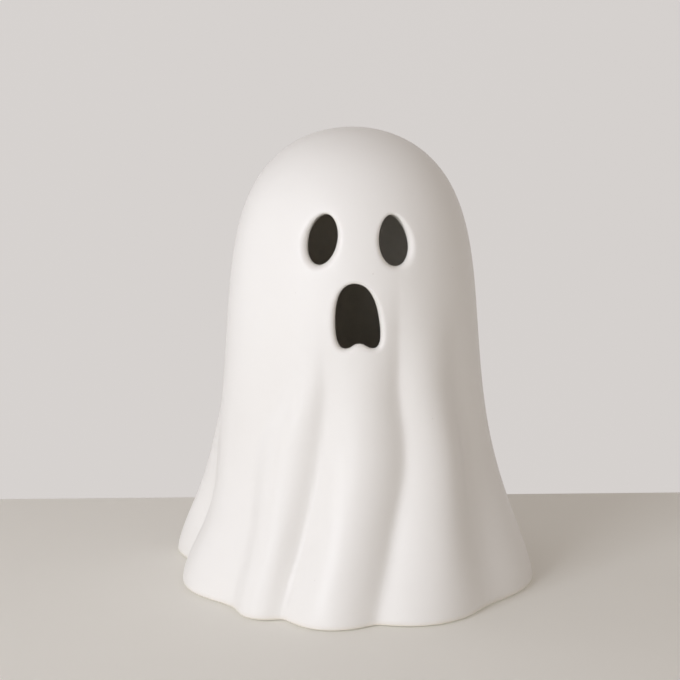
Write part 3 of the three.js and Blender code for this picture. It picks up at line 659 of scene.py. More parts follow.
def relaxed(values, band, fixed, gone):  # evens out the columns and rows in a band round the openings
    values = values.copy()
    free = band & ~fixed & ~gone
    present = (~gone).astype(float)
    counts = np.maximum(sum(np.roll(present, step, axis) for step in (1, -1) for axis in (0, 1)), 1)
    for _ in range(openingDetail["relaxRounds"]):
        kept = np.where(gone, 0, values)
        mean = sum(np.roll(kept, step, axis) for step in (1, -1) for axis in (0, 1)) / counts
        values[free] = mean[free]
    return values


def orderedLoop(start):
    loop, edge = [start], next(e for e in start.link_edges if e.is_boundary)
    while True:
        vertex = edge.other_vert(loop[-1])
        if vertex is start:
            return loop
        loop.append(vertex)
        edge = next(e for e in vertex.link_edges if e.is_boundary and e is not edge)


def extrudedLoop(skin, loop, places):
    edges = [skin.edges.get(pair) for pair in zip(loop, loop[1:] + loop[:1])]
    made = bmesh.ops.extrude_edge_only(skin, edges=edges)["geom"]
    fresh = {part for part in made if isinstance(part, bmesh.types.BMVert)}
    following = []
    for vertex, place in zip(loop, places):
        beside = (edge.other_vert(vertex) for edge in vertex.link_edges)
        child = next(other for other in beside if other in fresh)
        child.co = place * mm
        following.append(child)
    return following


def sharedSteps(here, outline):  # for each vertex of a loop, its evened place along the outline
    nearest = np.argmin(((here[:, None] - outline[None]) ** 2).sum(-1), 1).astype(float)
    half = len(outline) / 2
    steps = np.mod(np.diff(nearest, append=nearest[:1]) + half, len(outline)) - half
    way = np.sign(steps.sum())
    along = nearest[0] + np.concatenate([[0], np.cumsum(steps[:-1])])
    for _ in range(openingDetail["evenRounds"]):
        after = np.append(along[1:], along[0] + way * len(outline))
        before = np.insert(along[:-1], 0, along[-1] - way * len(outline))
        along = (before + 2 * along + after) / 4
    return along


def onOutline(outline, along):
    whole = np.concatenate([outline, outline[:1]])
    steps, place = np.arange(len(whole)), np.mod(along, len(outline))
    return np.stack([np.interp(place, steps, column) for column in whole.T], -1)


def makeGhost(finish):
    places, heights, angles, innerRows, innerStart = shellRows()
    columns = shell["columns"]
    levels = np.repeat(heights[:, None], columns, 1)
    skin, grid, rowOf, columnOf, bare, lipShade = spunSkin(len(places), columns)
    for row, ring in enumerate(grid):
        for column, vertex in enumerate(ring):
            vertex.co = places[row, column] * mm
            vertex[bare] = float(row >= len(heights) + 2)
    innerRowOf = {int(row): innerStart + i for i, row in enumerate(innerRows)}
    cuts = {name: openingCut(opening, angles, levels) for name, opening in openings.items()}
    for name, cut in cuts.items():
        doomed = set()
        for row, column in zip(*np.nonzero(cut["faces"])):
            for part in (grid, {i: grid[innerRowOf[i]] for i in (row, row + 1)}):
                beside = (column + 1) % columns
                corners = [part[row][column], part[row + 1][column], part[row + 1][beside], part[row][beside]]
                doomed.add(next(face for face in corners[0].link_faces if set(face.verts) == set(corners)))
        bmesh.ops.delete(skin, geom=list(doomed), context="FACES")
        first = tuple(part[0] for part in np.nonzero(cut["edge"]))
        cut["loop"] = orderedLoop(grid[first[0]][first[1]])
        cut["keys"] = [(vertex[rowOf], vertex[columnOf]) for vertex in cut["loop"]]
        here = np.array([(cut["x"][key], cut["y"][key]) for key in cut["keys"]])
        along = sharedSteps(here, openings[name]["rim"])
        for word in ("rim", "throat", "roll"):
            cut[word] = onOutline(openings[name][word], along)

    band, fixed, gone = (
        np.any([cut[word] for cut in cuts.values()], axis=0) for word in ("band", "edge", "gone")
    )
    chosen = np.nonzero((band | fixed) & ~gone)
    outerRowOf = {i: i for i in range(len(heights))}
    skins = ((None, outerRowOf, outerPlace), (lip["innerReach"], innerRowOf, innerPlace))
    for reach, rowsOf, where in skins:
        newAngles, newLevels = angles.copy(), levels.copy()
        for name, cut in cuts.items():
            opening = openings[name]
            growth = 1.0 if reach is None else reach / cut["roll"]
            edge = cut["throat"] + (cut["rim"] - cut["throat"]) * growth
            for key, (across, up) in zip(cut["keys"], edge):
                newAngles[key] = opening["angle"] + across * opening["scale"]
                newLevels[key] = opening["z"] + up
        newAngles, newLevels = (relaxed(values, band, fixed, gone) for values in (newAngles, newLevels))
        for row, column, place in zip(*chosen, where(newAngles[chosen], newLevels[chosen])):
            grid[rowsOf[int(row)]][column].co = place * mm

    for name, cut in cuts.items():
        opening, loop = openings[name], cut["loop"]

        def placed(growth, depth):
            point = cut["throat"] + (cut["rim"] - cut["throat"]) * growth
            angle = opening["angle"] + point[:, 0] * opening["scale"]
            return outerPlace(angle, opening["z"] + point[:, 1], depth)

        for turn in np.linspace(0, math.pi / 2, lip["steps"])[1:]:
            depth = cut["roll"][:, 0] * (1 - math.cos(turn))
            loop = extrudedLoop(skin, loop, placed(1 - math.sin(turn), depth))
            for vertex in loop:
                vertex[lipShade] = math.sin(turn) ** 2
        loop = extrudedLoop(skin, loop, placed(lip["undercut"] / cut["roll"], lip["throat"]))
        within = [np.array(grid[innerRowOf[row]][column].co) / mm for row, column in cut["keys"]]
        loop = extrudedLoop(skin, loop, within)
        for vertex in loop:
            vertex[bare] = 1.0
        print("opening cut:", name, "with", len(cut["keys"]), "points")
    bmesh.ops.delete(skin, geom=[vertex for vertex in skin.verts if not vertex.link_faces], context="VERTS")
    bmesh.ops.remove_doubles(skin, verts=skin.verts, dist=0.002 * mm)
    bmesh.ops.recalc_face_normals(skin, faces=skin.faces)
    openEdges = sum(edge.is_boundary or not edge.is_manifold for edge in skin.edges)
    print("ghost shell:", len(skin.faces), "faces,", openEdges, "open edges")
    newPiece("ghost_shell", skin, [finish], "glaze", "lamp", ["ghost_body"])


makeGhost(satinGlaze())


# Small finishes


def cellSleeve():  # reads how far a place lies from the flat end of its cell
    look = {
        "body": (0.085, 0.12, 0.16),
        "band": (0.58, 0.575, 0.56),
        "line": (0.62, 0.36, 0.07),
        "bandStart": 33.5,
        "lines": ((32.1, 0.5), (2.4, 0.35)),  # where each line is, and half its width
    }
    finish = Finish("cellSleeve", Specular_IOR_Level=0.5, Coat_Roughness=0.12)
    along = finish.attribute("along")
    scuff = finish.noise(0.9, 5, finish.stretched(0.25, 1, 1), 0.7)
    flake = finish.noise(0.12, 1)
    band = along.above(look["bandStart"], 0.04)
    upper, lower = (1 - (along - at).size().above(half, 0.04) for at, half in look["lines"])
    line = upper.most(lower)
    shade = finish.mix(band, look["body"], look["band"])
    shade = finish.mix(line, shade, look["line"])
    finish.feed("Base Color", finish.mix((scuff - 0.6) * 1.2, shade, (0.5, 0.5, 0.49)))
    finish.feed("Metallic", 0.25 + band * 0.55)
    finish.feed("Roughness", 0.3 + (scuff - 0.5) * 0.25 + (flake - 0.5) * 0.1)
    finish.feed("Coat Weight", 0.5 - (scuff.above(0.66, 0.05)) * 0.4)
    finish.relief(scuff * 0.012 - line * 0.008)
    return finish.material


def ledResin():
    finish = Finish("ledResin", Transmission_Weight=0.72, IOR=1.53)
    haze = finish.noise(1.6, 3)
    finish.feed("Base Color", finish.mix((haze - 0.35) * 0.8, (0.97, 0.90, 0.70), (0.93, 0.80, 0.52)))
    finish.feed("Roughness", 0.08 + (haze - 0.5) * 0.08)
    finish.relief(haze * 0.008)
    return finish.material


def phosphorGel():
    finish = Finish("phosphorGel", Specular_IOR_Level=0.5)
    grain = finish.noise(0.09, 3)
    finish.feed("Base Color", finish.mix(grain, (0.93, 0.66, 0.09), (0.98, 0.83, 0.30)))
    finish.feed("Roughness", 0.45 + (grain - 0.5) * 0.3)
    finish.relief(grain * 0.01)
    return finish.material


def boardLacquer():
    look = {
        "mask": (0.022, 0.15, 0.052),
        "track": (0.045, 0.25, 0.085),
        "edge": (0.42, 0.40, 0.26),
        "pad": (0.70, 0.69, 0.66),
        "pitch": 2.54,
        "trackWidth": 0.32,
        "ringRadius": 2.35,
        "ringPlace": (16, 10),
        "halfSize": (19.93, 13.93),
    }
    finish = Finish("boardLacquer", Specular_IOR_Level=0.5, Coat_Roughness=0.15)
    lines = []
    for across, along in ((finish.x, finish.y), (finish.y, finish.x)):
        middle = finish.maths("PINGPONG", across, look["pitch"] / 2)
        track = finish.maths("SNAP", across + look["pitch"] / 2, look["pitch"])
        stretch = finish.maths("SNAP", along, 2 * look["pitch"])
        gateAt = finish.node("CombineXYZ", inputs={0: track, 1: stretch})
        gate = finish.node("TexWhiteNoise", inputs={"Vector": gateAt}).above(0.56, 0.001)
        lines.append((1 - middle.above(look["trackWidth"], 0.03)) * gate)
    track = lines[0].most(lines[1])
    ringX, ringY = look["ringPlace"]
    away = [finish.distance(x, y) for x in (ringX, -ringX) for y in (ringY, -ringY)]
    near = away[0].least(away[1]).least(away[2]).least(away[3])
    ring = 1 - near.above(look["ringRadius"], 0.04)
    sideX, sideY = look["halfSize"]
    cutEdge = (finish.x.size().above(sideX, 0.02)).most(finish.y.size().above(sideY, 0.02))
    weave = finish.noise(0.45, 2, finish.stretched(1, 1, 0.2))
    shade = finish.mix(track, look["mask"], look["track"])
    shade = finish.mix((weave - 0.45) * 0.5, shade, dimmed(look["mask"], 0.7))
    shade = finish.mix(cutEdge, shade, look["edge"])
    finish.feed("Base Color", finish.mix(ring, shade, look["pad"]))
    finish.feed("Metallic", ring * 0.9)
    finish.feed("Roughness", 0.3 + cutEdge * 0.4 + (weave - 0.5) * 0.15)
    finish.feed("Coat Weight", (1 - ring) * (1 - cutEdge) * 0.4)
    finish.relief(track * 0.03 + ring * 0.03 + weave * 0.006)
    return finish.material


def resistorLacquer(middle):  # middle is where its body has its middle along X
    brown, black, gold = (0.10, 0.03, 0.01), (0.01, 0.01, 0.01), (0.55, 0.38, 0.08)
    look = {"body": (0.60, 0.45, 0.25), "bands": ((-1.9, brown), (-0.9, black), (0.0, brown), (1.9, gold))}
    finish = Finish("resistorLacquer", Specular_IOR_Level=0.5, Coat_Weight=0.3, Coat_Roughness=0.1)
    mottle = finish.noise(0.8, 3)
    shade = finish.mix((mottle - 0.4) * 0.8, look["body"], dimmed(look["body"], 0.8))
    for place, colour in look["bands"]:
        shade = finish.mix(1 - (finish.x - (middle + place)).size().above(0.24, 0.03), shade, colour)
    finish.feed("Base Color", shade)
    finish.feed("Roughness", 0.32 + (mottle - 0.5) * 0.2)
    finish.relief(mottle * 0.02)
    return finish.material


# Each small piece's slot names its finish
slotFinish = {
    "white_plastic": mouldedPlastic("whitePlastic", (0.79, 0.77, 0.73)),
    "black_plastic": mouldedPlastic("blackPlastic", (0.03, 0.03, 0.032), 0.42, 0.01),
    "silicone": siliconeRubber(),
    "frosted_plastic": frostedPlastic(),
    "nickel": platedMetal("nickelPlate", (0.66, 0.645, 0.61), (0.52, 0.49, 0.43), 0.27, (1, 1, 7)),
    "steel": platedMetal("zincSteel", (0.55, 0.56, 0.57), (0.42, 0.42, 0.41), 0.34, (1, 1, 5)),
    "cell_sleeve": cellSleeve(),
    "board_lacquer": boardLacquer(),
    "led_resin": ledResin(),
    "phosphor": phosphorGel(),
    "red_sleeve": leadInsulation("redInsulation", (0.45, 0.02, 0.015), (0.55, 0.05, 0.04)),
    "black_sleeve": leadInsulation("blackInsulation", (0.02, 0.02, 0.02), (0.04, 0.04, 0.04)),
}
print("finishes made")


# Shapes, in millimetres


def rounded(corners, radius, steps=4):  # a profile with its corners rounded, apart from its two ends
    corners = [Vector(corner) for corner in corners]
    points = [corners[0]]
    for before, corner, after in zip(corners, corners[1:], corners[2:]):
        room = min((before - corner).length, (after - corner).length) * 0.45
        start = corner + (before - corner).normalized() * min(radius, room)
        end = corner + (after - corner).normalized() * min(radius, room)
        for t in np.linspace(0, 1, steps + 1):
            points.append(start * (1 - t) ** 2 + corner * (2 * t * (1 - t)) + end * t**2)
    return points + [corners[-1]]


def turned(profile, sides=64):  # a profile of radius and height, spun round the Z axis
    mesh = bmesh.new()
    chain = [mesh.verts.new((radius, 0, height)) for radius, height in profile]
    edges = [mesh.edges.new(pair) for pair in zip(chain, chain[1:])]
    spunRound(mesh, chain + edges, sides)
    bmesh.ops.remove_doubles(mesh, verts=mesh.verts, dist=0.0005)
    bmesh.ops.recalc_face_normals(mesh, faces=mesh.faces)
    return mesh


def softBlock(low, high, edge=0.15, steps=2):
    mesh = bmesh.new()
    low, high = Vector(low), Vector(high)
    bmesh.ops.create_cube(mesh, size=1)
    bmesh.ops.scale(mesh, vec=high - low, verts=mesh.verts)
    bmesh.ops.translate(mesh, vec=(low + high) / 2, verts=mesh.verts)
    bevelled(mesh, mesh.edges[:], edge, steps)
    return mesh


def bevelled(mesh, edges, width, steps):
    bmesh.ops.bevel(
        mesh,
        geom=edges,
        offset=width,
        offset_type="OFFSET",
        affect="EDGES",
        segments=steps,
        profile=0.5,
        material=-1,
        clamp_overlap=True,
    )


def softened(node, width, steps=2, sharpAngle=25):  # a copy of a CAD node with its edges broken
    mesh = bmesh.new()
    mesh.from_mesh(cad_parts[node].data)
    bmesh.ops.scale(mesh, vec=(1 / mm,) * 3, verts=mesh.verts)
    bmesh.ops.remove_doubles(mesh, verts=mesh.verts, dist=0.002)
    bmesh.ops.dissolve_limit(mesh, angle_limit=math.radians(0.5), verts=mesh.verts, edges=mesh.edges)
    sharp = [edge for edge in mesh.edges if edge.calc_face_angle(0.0) > math.radians(sharpAngle)]
    bevelled(mesh, sharp, width, steps)
    return mesh


def moved(mesh, matrix):
    bmesh.ops.transform(mesh, matrix=matrix, verts=mesh.verts)
    return mesh


def aimed(origin, direction):  # turns +Z to a direction and carries it to a place
    return Matrix.Translation(origin) @ Vector(direction).to_track_quat("Z", "Y").to_matrix().to_4x4()


def gathered(parts):  # shapes as one mesh, each with the number of its finish
    whole = bmesh.new()
    for part, number in parts:
        for face in part.faces:
            face.material_index = number
        data = bpy.data.meshes.new("part")
        part.to_mesh(data)
        part.free()
        whole.from_mesh(data)
        bpy.data.meshes.remove(data)
    return whole


def wireShape(points, radius, sides=12):  # a round wire through points
    curve = bpy.data.curves.new("wire", "CURVE")
    curve.dimensions, curve.bevel_depth, curve.bevel_resolution = "3D", radius, sides // 4 - 1
    curve.use_fill_caps = True
    spline = curve.splines.new("POLY")
    spline.points.add(len(points) - 1)
    for knot, point in zip(spline.points, points):
        knot.co = (*point, 1)
    holder = bpy.data.objects.new("wire", curve)
    data = holder.to_mesh()
    mesh = bmesh.new()
    mesh.from_mesh(data)
    holder.to_mesh_clear()
    bpy.data.objects.remove(holder)
    bpy.data.curves.remove(curve)
    bmesh.ops.remove_doubles(mesh, verts=mesh.verts, dist=0.0005)
    bmesh.ops.recalc_face_normals(mesh, faces=mesh.faces)
    return mesh


def routed(points, steps):  # a smooth route through points
    points = np.array(points, float)
    points = np.concatenate([2 * points[:1] - points[1:2], points, 2 * points[-1:] - points[-2:-1]])
    gaps = np.sqrt(np.linalg.norm(np.diff(points, axis=0), axis=1))
    route = []
    for k in range(1, len(points) - 2):
        before, start, end, after = points[k - 1 : k + 3]
        gapIn, gap, gapOut = gaps[k - 1 : k + 2]
        leave = ((start - before) / gapIn - (end - before) / (gapIn + gap) + (end - start) / gap) * gap
        arrive = ((end - start) / gap - (after - start) / (gap + gapOut) + (after - end) / gapOut) * gap
        for t in np.arange(steps) / steps:
            bend, twist = 3 * (end - start) - 2 * leave - arrive, 2 * (start - end) + leave + arrive
            route.append(start + leave * t + bend * t**2 + twist * t**3)
    return np.array(route + [points[-2]])


def nodeBox(node):  # lowest and highest corners in millimetres, and the middle
    low, high = (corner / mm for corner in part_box(node))
    return low, high, (low + high) / 2


def smallPiece(name, mesh, slot, replaced=(), body="lamp", keepAngle=30, second=None):
    bmesh.ops.scale(mesh, vec=(mm, mm, mm), verts=mesh.verts)
    finishes = [slotFinish[word] for word in (slot, second) if word]
    return newPiece(name, mesh, finishes, slot, body, replaced, keepAngle)


# Anti-slip pads: silicone on a thin adhesive disc

pad = {
    "radius": 4.0,
    "height": 2.1,
    "edge": 0.45,
    "adhesive": 0.25,
    "inset": 0.12,
    "dimple": 0.25,
    "dimpleRadius": (2.4, 2.7),
}


def padProfile():
    radius, height, dimple = pad["radius"], pad["height"], pad["dimple"]
    glueLine, glued = height - pad["adhesive"], radius - pad["inset"]
    deep, rim = pad["dimpleRadius"]
    rubber = rounded([(0, dimple), (deep, dimple), (rim, 0), (radius, 0), (radius, glueLine)], pad["edge"], 5)
    return rubber + [(glued, glueLine), (glued, height), (0, height)]


for number in range(1, 5):
    node = f"anti_slip_pad_{number}"
    middle = nodeBox(node)[2]
    mesh = moved(turned(padProfile(), 48), Matrix.Translation((middle.x, middle.y, 0)))
    smallPiece(f"pad_{number}", mesh, "silicone", [node])
print("pads made")


# Light unit: housing, lid, door, sealing ring and switch

mouldings = {
    "unit_housing": {"node": "lamp_housing", "edge": 0.25, "slot": "white_plastic"},
    "unit_lid": {"node": "housing_lid", "edge": 0.3, "slot": "white_plastic"},
    "cell_door": {"node": "battery_door", "edge": 0.2, "slot": "white_plastic", "body": "door"},
    "slide_switch": {"node": "switch_body", "edge": 0.2, "slot": "black_plastic"},
    "slide_knob": {"node": "switch_knob", "edge": 0.12, "slot": "black_plastic", "body": "knob"},
    "contact_plus": {"node": "positive_plate", "edge": 0.1, "slot": "nickel"},
    "contact_minus": {"node": "negative_plate", "edge": 0.1, "slot": "nickel"},
    "contact_bridge_a": {"node": "bridge_plate_a", "edge": 0.1, "slot": "nickel"},
    "contact_bridge_b": {"node": "bridge_plate_b", "edge": 0.1, "slot": "nickel"},
    "led_board": {"node": "circuit_board", "edge": 0.08, "slot": "board_lacquer"},
}
for name, moulding in mouldings.items():
    mesh = softened(moulding["node"], moulding["edge"])
    body = moulding.get("body", "lamp")
    piece = smallPiece(name, mesh, moulding["slot"], [moulding["node"]], body)
    # Wide faces stay flat beside their rounded edges
    piece.modifiers.new("flatFaces", "WEIGHTED_NORMAL").keep_sharp = True
print("mouldings made")

ring = {
    "inside": 35.24,
    "outside": 36.65,
    "foot": 4.5,
    "neck": 7.5,
    "beadRadius": 38.15,
    "beadLow": 7.8,
    "beadMiddle": 37.35,
    "beadHigh": 9.8,
    "top": 10.1,
    "round": 0.5,
    "groove": 0.35,  # its depth, and its heights from foot to top
    "grooveHeights": (5.9, 6.3, 8.3, 8.7),
}


def ringProfile():
    inside, outside, groove = ring["inside"], ring["outside"], ring["inside"] + ring["groove"]
    foot, low, high, top = ring["grooveHeights"]
    skirt = [(inside, foot), (inside, ring["foot"]), (outside, ring["foot"]), (outside, ring["neck"])]
    bead = [(ring["beadRadius"], ring["beadLow"]), (ring["beadMiddle"], ring["beadHigh"])]
    bore = [(inside, ring["top"]), (inside, top), (groove, high), (groove, low), (inside, foot)]
    return rounded(skirt + bead + bore, ring["round"])


smallPiece("sealing_ring", turned(ringProfile(), 120), "silicone", ["retaining_ring"])


# Frosted dome and the LED under it

dome = {
    "radius": 15.0,
    "wall": 1.6,
    "flange": 18.0,
    "seat": 1.2,
    "rise": 14.8,
    "steps": 16,
    "edge": 0.3,
}


def crown(radius, rise, foot, steps):  # a quarter of an oval, from its rim up to the axis
    turns = [math.pi / 2 * k / steps for k in range(steps)]
    return [(radius * math.cos(turn), foot + rise * math.sin(turn)) for turn in turns] + [(0.0, foot + rise)]


def makeDome():
    wall, seat, flange = dome["wall"], dome["seat"], dome["flange"]
    inner = crown(dome["radius"] - wall, dome["rise"] - wall, seat, dome["steps"])[::-1]
    outer = crown(dome["radius"], dome["rise"], seat, dome["steps"])
    rim = rounded([inner[-1], (inner[-1][0], 0), (flange, 0), (flange, seat), outer[0]], dome["edge"])
    mesh = turned(inner[:-1] + rim + outer[1:], 96)
    place = Matrix.Translation((0, 0, nodeBox("light_diffuser")[0].z))
    smallPiece("frosted_dome", moved(mesh, place), "frosted_plastic", ["light_diffuser"])


makeDome()

led = {
    "radius": 5.0,
    "flange": 5.8,
    "flangeHeight": 1.4,
    "barrel": 5.5,
    "edge": 0.2,
    "steps": 12,
    "cup": [(0, 3.1), (0.55, 3.1), (0.55, 3.7), (1.5, 4.9), (1.25, 4.9), (0.7, 4.1), (0, 4.1)],
    "gel": [(0, 4.15), (0.68, 4.15), (1.0, 4.45), (0.6, 4.6), (0, 4.65)],
    "anvil": ((-1.5, -0.25, 0.3), (0.5, 0.25, 3.3)),
    "post": ((1.9, -0.25, 0.3), (2.5, 0.25, 4.6)),
    "bond": [(0.2, 0, 4.6), (0.9, 0, 5.5), (1.7, 0, 5.3), (2.2, 0, 4.55)],
    "bondRadius": 0.05,
}


def makeLed():
    place = Matrix.Translation((0, 0, nodeBox("led")[0].z))
    radius, flange, step, barrel = (led[word] for word in ("radius", "flange", "flangeHeight", "barrel"))
    body = rounded([(0, 0), (flange, 0), (flange, step), (radius, step), (radius, barrel)], led["edge"])
    lens = turned(body[:-1] + crown(radius, radius, barrel, led["steps"]), 48)
    smallPiece("led_lens", moved(lens, place), "led_resin", ["led"])
    frameParts = [
        (turned(rounded(led["cup"], 0.08, 2), 24), 0),
        (softBlock(*led["anvil"], 0.08), 0),
        (softBlock(*led["post"], 0.08), 0),
        (wireShape(routed(led["bond"], 8), led["bondRadius"], 8), 0),
        (turned(led["gel"], 24), 1),
    ]
    smallPiece("led_lead_frame", moved(gathered(frameParts), place), "nickel", second="phosphor")


makeLed()
print("dome and LED made")


# Cells: a printed sleeve that laps over a steel can

cell = {
    "radius": 5.25,
    "lap": 4.35,  # the sleeve laps over the can's ends down to this radius
    "nub": 1.9,
    "nubLength": 0.8,
    "shoulder": 2.5,
    "flat": (3.2, 3.5),
    "step": 0.25,
    "edge": 0.3,
}


def makeCell(number):
    low, high, middle = nodeBox(f"battery_{number}")
    length = high.x - low.x
    side = 1 if middle.x > 0 else -1
    shoulder = length - cell["nubLength"]
    radius, lap, nub, step = (cell[word] for word in ("radius", "lap", "nub", "step"))
    (flatRadius, flatRim), sunk = cell["flat"], shoulder - step
    flatEnd = rounded([(0, step * 0.4), (flatRadius, step * 0.4), (flatRim, step), (lap, step)], 0.1, 2)
    tube = [(lap, step), (lap, 0), (radius, 0), (radius, shoulder), (lap, shoulder), (lap, sunk)]
    sleeve = rounded(tube, cell["edge"])
    nubCorners = [(lap, sunk), (cell["shoulder"], sunk), (nub, shoulder - 0.1), (nub, length), (0, length)]
    nubEnd = rounded(nubCorners, 0.22, 3)
    mesh = turned(flatEnd + sleeve[1:] + nubEnd[1:], 48)
    along = mesh.verts.layers.float.new("along")
    for vertex in mesh.verts:
        vertex[along] = vertex.co.z
    for face in mesh.faces:
        centre = face.calc_center_median()
        face.material_index = int(math.hypot(centre.x, centre.y) < lap - 0.02)
    mesh = moved(mesh, aimed((low.x if side > 0 else high.x, middle.y, middle.z), (side, 0, 0)))
    smallPiece(f"cell_{number}", mesh, "cell_sleeve", [f"battery_{number}"], second="nickel")
    return side, middle


cells = [makeCell(number) for number in (1, 2, 3)]
print("cells made")


# Contact springs: a flat turn on the plate, a cone of open turns and a flat turn against the cell

spring = {
    "wire": 0.7,
    "length": 5.0,
    "foot": 3.4,
    "top": 1.9,
    "footTurns": 0.8,
    "coneTurns": 2.6,
    "topTurns": 0.7,
    "stepsPerTurn": 40,
}


def springRoute():
    turns = spring["footTurns"] + spring["coneTurns"] + spring["topTurns"]
    at = np.linspace(0, turns, int(turns * spring["stepsPerTurn"]))
    climbed = np.clip((at - spring["footTurns"]) / spring["coneTurns"], 0, 1)
    eased = climbed + np.sin(2 * math.pi * climbed) * -0.06
    height = spring["wire"] / 2 + (spring["length"] - spring["wire"]) * eased
    radius = spring["foot"] + (spring["top"] - spring["foot"]) * climbed
    turn = 2 * math.pi * at
    return np.stack([radius * np.cos(turn), radius * np.sin(turn), height], -1)


for number, (side, middle) in enumerate(cells, 1):
    low, high, _ = nodeBox(f"contact_spring_{number}")
    foot = (low.x if side > 0 else high.x, middle.y, middle.z)
    mesh = moved(wireShape(springRoute(), spring["wire"] / 2), aimed(foot, (side, 0, 0)))
    smallPiece(f"cell_spring_{number}", mesh, "steel", [f"contact_spring_{number}"], keepAngle=60)
print("springs made")


# Screws: a pan head with a cross recess over a threaded shank

screw = {
    "head": 2.2,
    "headHeight": 1.4,
    "core": 0.78,
    "thread": 1.0,
    "pitch": 0.7,
    "tip": 0.35,
    "tipRadius": 0.4,
    "recessReach": 1.2,
    "recessHalf": 0.3,
    "recessDepth": 0.85,
    "recessTaper": 0.55,
}


def screwShape(length):
    words = ("core", "thread", "pitch", "head", "headHeight")
    core, thread, pitch, head, top = (screw[word] for word in words)
    height = screw["tip"] - length
    profile = [(0, -length), (screw["tipRadius"], -length), (core, height)]
    while height + pitch < -screw["tip"]:
        for radius, share in ((core, 0.15), (thread, 0.5), (core, 0.85)):
            profile.append((radius, height + share * pitch))
        height += pitch
    pan = [(core, 0.0), (head, 0.0), (head, 0.5 * top), (0.72 * head, top), (screw["recessReach"], top)]
    mesh = turned(profile + rounded(pan, 0.3) + [(0.0, top)], 40)
    for axis, way in ((0, 1), (0, -1), (1, 1), (1, -1)):
        disc = [face for face in mesh.faces if face.calc_center_median().z > top - 0.001]
        edges = list({edge for face in disc for edge in face.edges})
        corners = list({vertex for face in disc for vertex in face.verts})
        normal = Vector((way, 0, 0)) if axis == 0 else Vector((0, way, 0))
        side = normal * screw["recessHalf"]
        bmesh.ops.bisect_plane(mesh, geom=disc + edges + corners, dist=0.001, plane_co=side, plane_no=normal)
    cross = []
    for face in mesh.faces:
        x, y, z = face.calc_center_median()
        inArm, inReach = min(abs(x), abs(y)) < screw["recessHalf"], math.hypot(x, y) < screw["recessReach"]
        if z > top - 0.001 and inArm and inReach:
            cross.append(face)
    sunk = bmesh.ops.extrude_face_region(mesh, geom=cross)["geom"]
    bmesh.ops.delete(mesh, geom=[face for face in cross if face.is_valid], context="FACES")
    fresh = [part for part in sunk if isinstance(part, bmesh.types.BMVert)]
    bmesh.ops.scale(mesh, vec=(screw["recessTaper"], screw["recessTaper"], 1), verts=fresh)
    bmesh.ops.translate(mesh, vec=(0, 0, -screw["recessDepth"]), verts=fresh)
    bmesh.ops.recalc_face_normals(mesh, faces=mesh.faces)
    return mesh


for family, count in (("lid_screw", 3), ("board_screw", 2)):
    for number in range(1, count + 1):
        low, high, middle = nodeBox(f"{family}_{number}")
        mesh = screwShape(high.z - low.z - screw["headHeight"])
        turn = Matrix.Rotation(math.radians(37 * number + 11 * count), 4, "Z")
        place = Matrix.Translation((middle.x, middle.y, high.z - screw["headHeight"]))
        smallPiece(f"{family}_pan_{number}", moved(mesh, place @ turn), "steel", [f"{family}_{number}"])
print("screws made")


# Chip and resistor

chip = {
    "body": (5.0, 4.0),
    "foot": 0.15,
    "height": 1.5,
    "edge": 0.12,
    "dot": 0.35,
    "dotPlace": (-1.8, -1.3, 0),
    "legPitch": 1.27,
    "legWidth": 0.42,
    "legThickness": 0.16,
    "legRoute": [(1.9, 0.72), (2.25, 0.72), (2.42, 0.6), (2.5, 0.22), (2.6, 0.1), (2.94, 0.1)],
}


def chipLeg(place):
    leg = bmesh.new()
    chain = [leg.verts.new((-chip["legWidth"] / 2, y, z)) for y, z in chip["legRoute"]]
    edges = [leg.edges.new(pair) for pair in zip(chain, chain[1:])]
    made = bmesh.ops.extrude_edge_only(leg, edges=edges)["geom"]
    fresh = [part for part in made if isinstance(part, bmesh.types.BMVert)]
    bmesh.ops.translate(leg, vec=(chip["legWidth"], 0, 0), verts=fresh)
    bmesh.ops.recalc_face_normals(leg, faces=leg.faces)
    bmesh.ops.solidify(leg, geom=leg.faces[:], thickness=chip["legThickness"])
    bmesh.ops.recalc_face_normals(leg, faces=leg.faces)
    return moved(leg, place)


def makeChip():
    low, _, middle = nodeBox("controller_chip")
    (across, along), foot, height, dot = chip["body"], chip["foot"], chip["height"], chip["dot"]
    body = softBlock((-across / 2, -along / 2, foot), (across / 2, along / 2, height), chip["edge"])
    raised, sunk = height + 0.02, height - 0.05
    mark = turned([(0, raised), (dot * 0.7, raised), (dot, sunk), (0, sunk)], 20)
    parts = [(body, 0), (moved(mark, Matrix.Translation(chip["dotPlace"])), 0)]
    for turn in (Matrix.Identity(4), Matrix.Rotation(math.pi, 4, "Z")):
        for k in range(4):
            parts.append((chipLeg(Matrix.Translation((chip["legPitch"] * (k - 1.5), 0, 0)) @ turn), 1))
    mesh = moved(gathered(parts), Matrix.Translation((middle.x, middle.y, low.z)))
    smallPiece("driver_chip", mesh, "black_plastic", ["controller_chip"], second="nickel")


makeChip()

resistor = {
    "half": 3.2,
    "radius": 1.15,
    "waist": 0.95,
    "cap": 1.5,  # how long each thick end is
    "slope": 0.5,
    "round": 0.4,
    "lead": 0.3,
    "reach": 4.15,
    "axis": 1.35,
    "bend": 0.7,
}


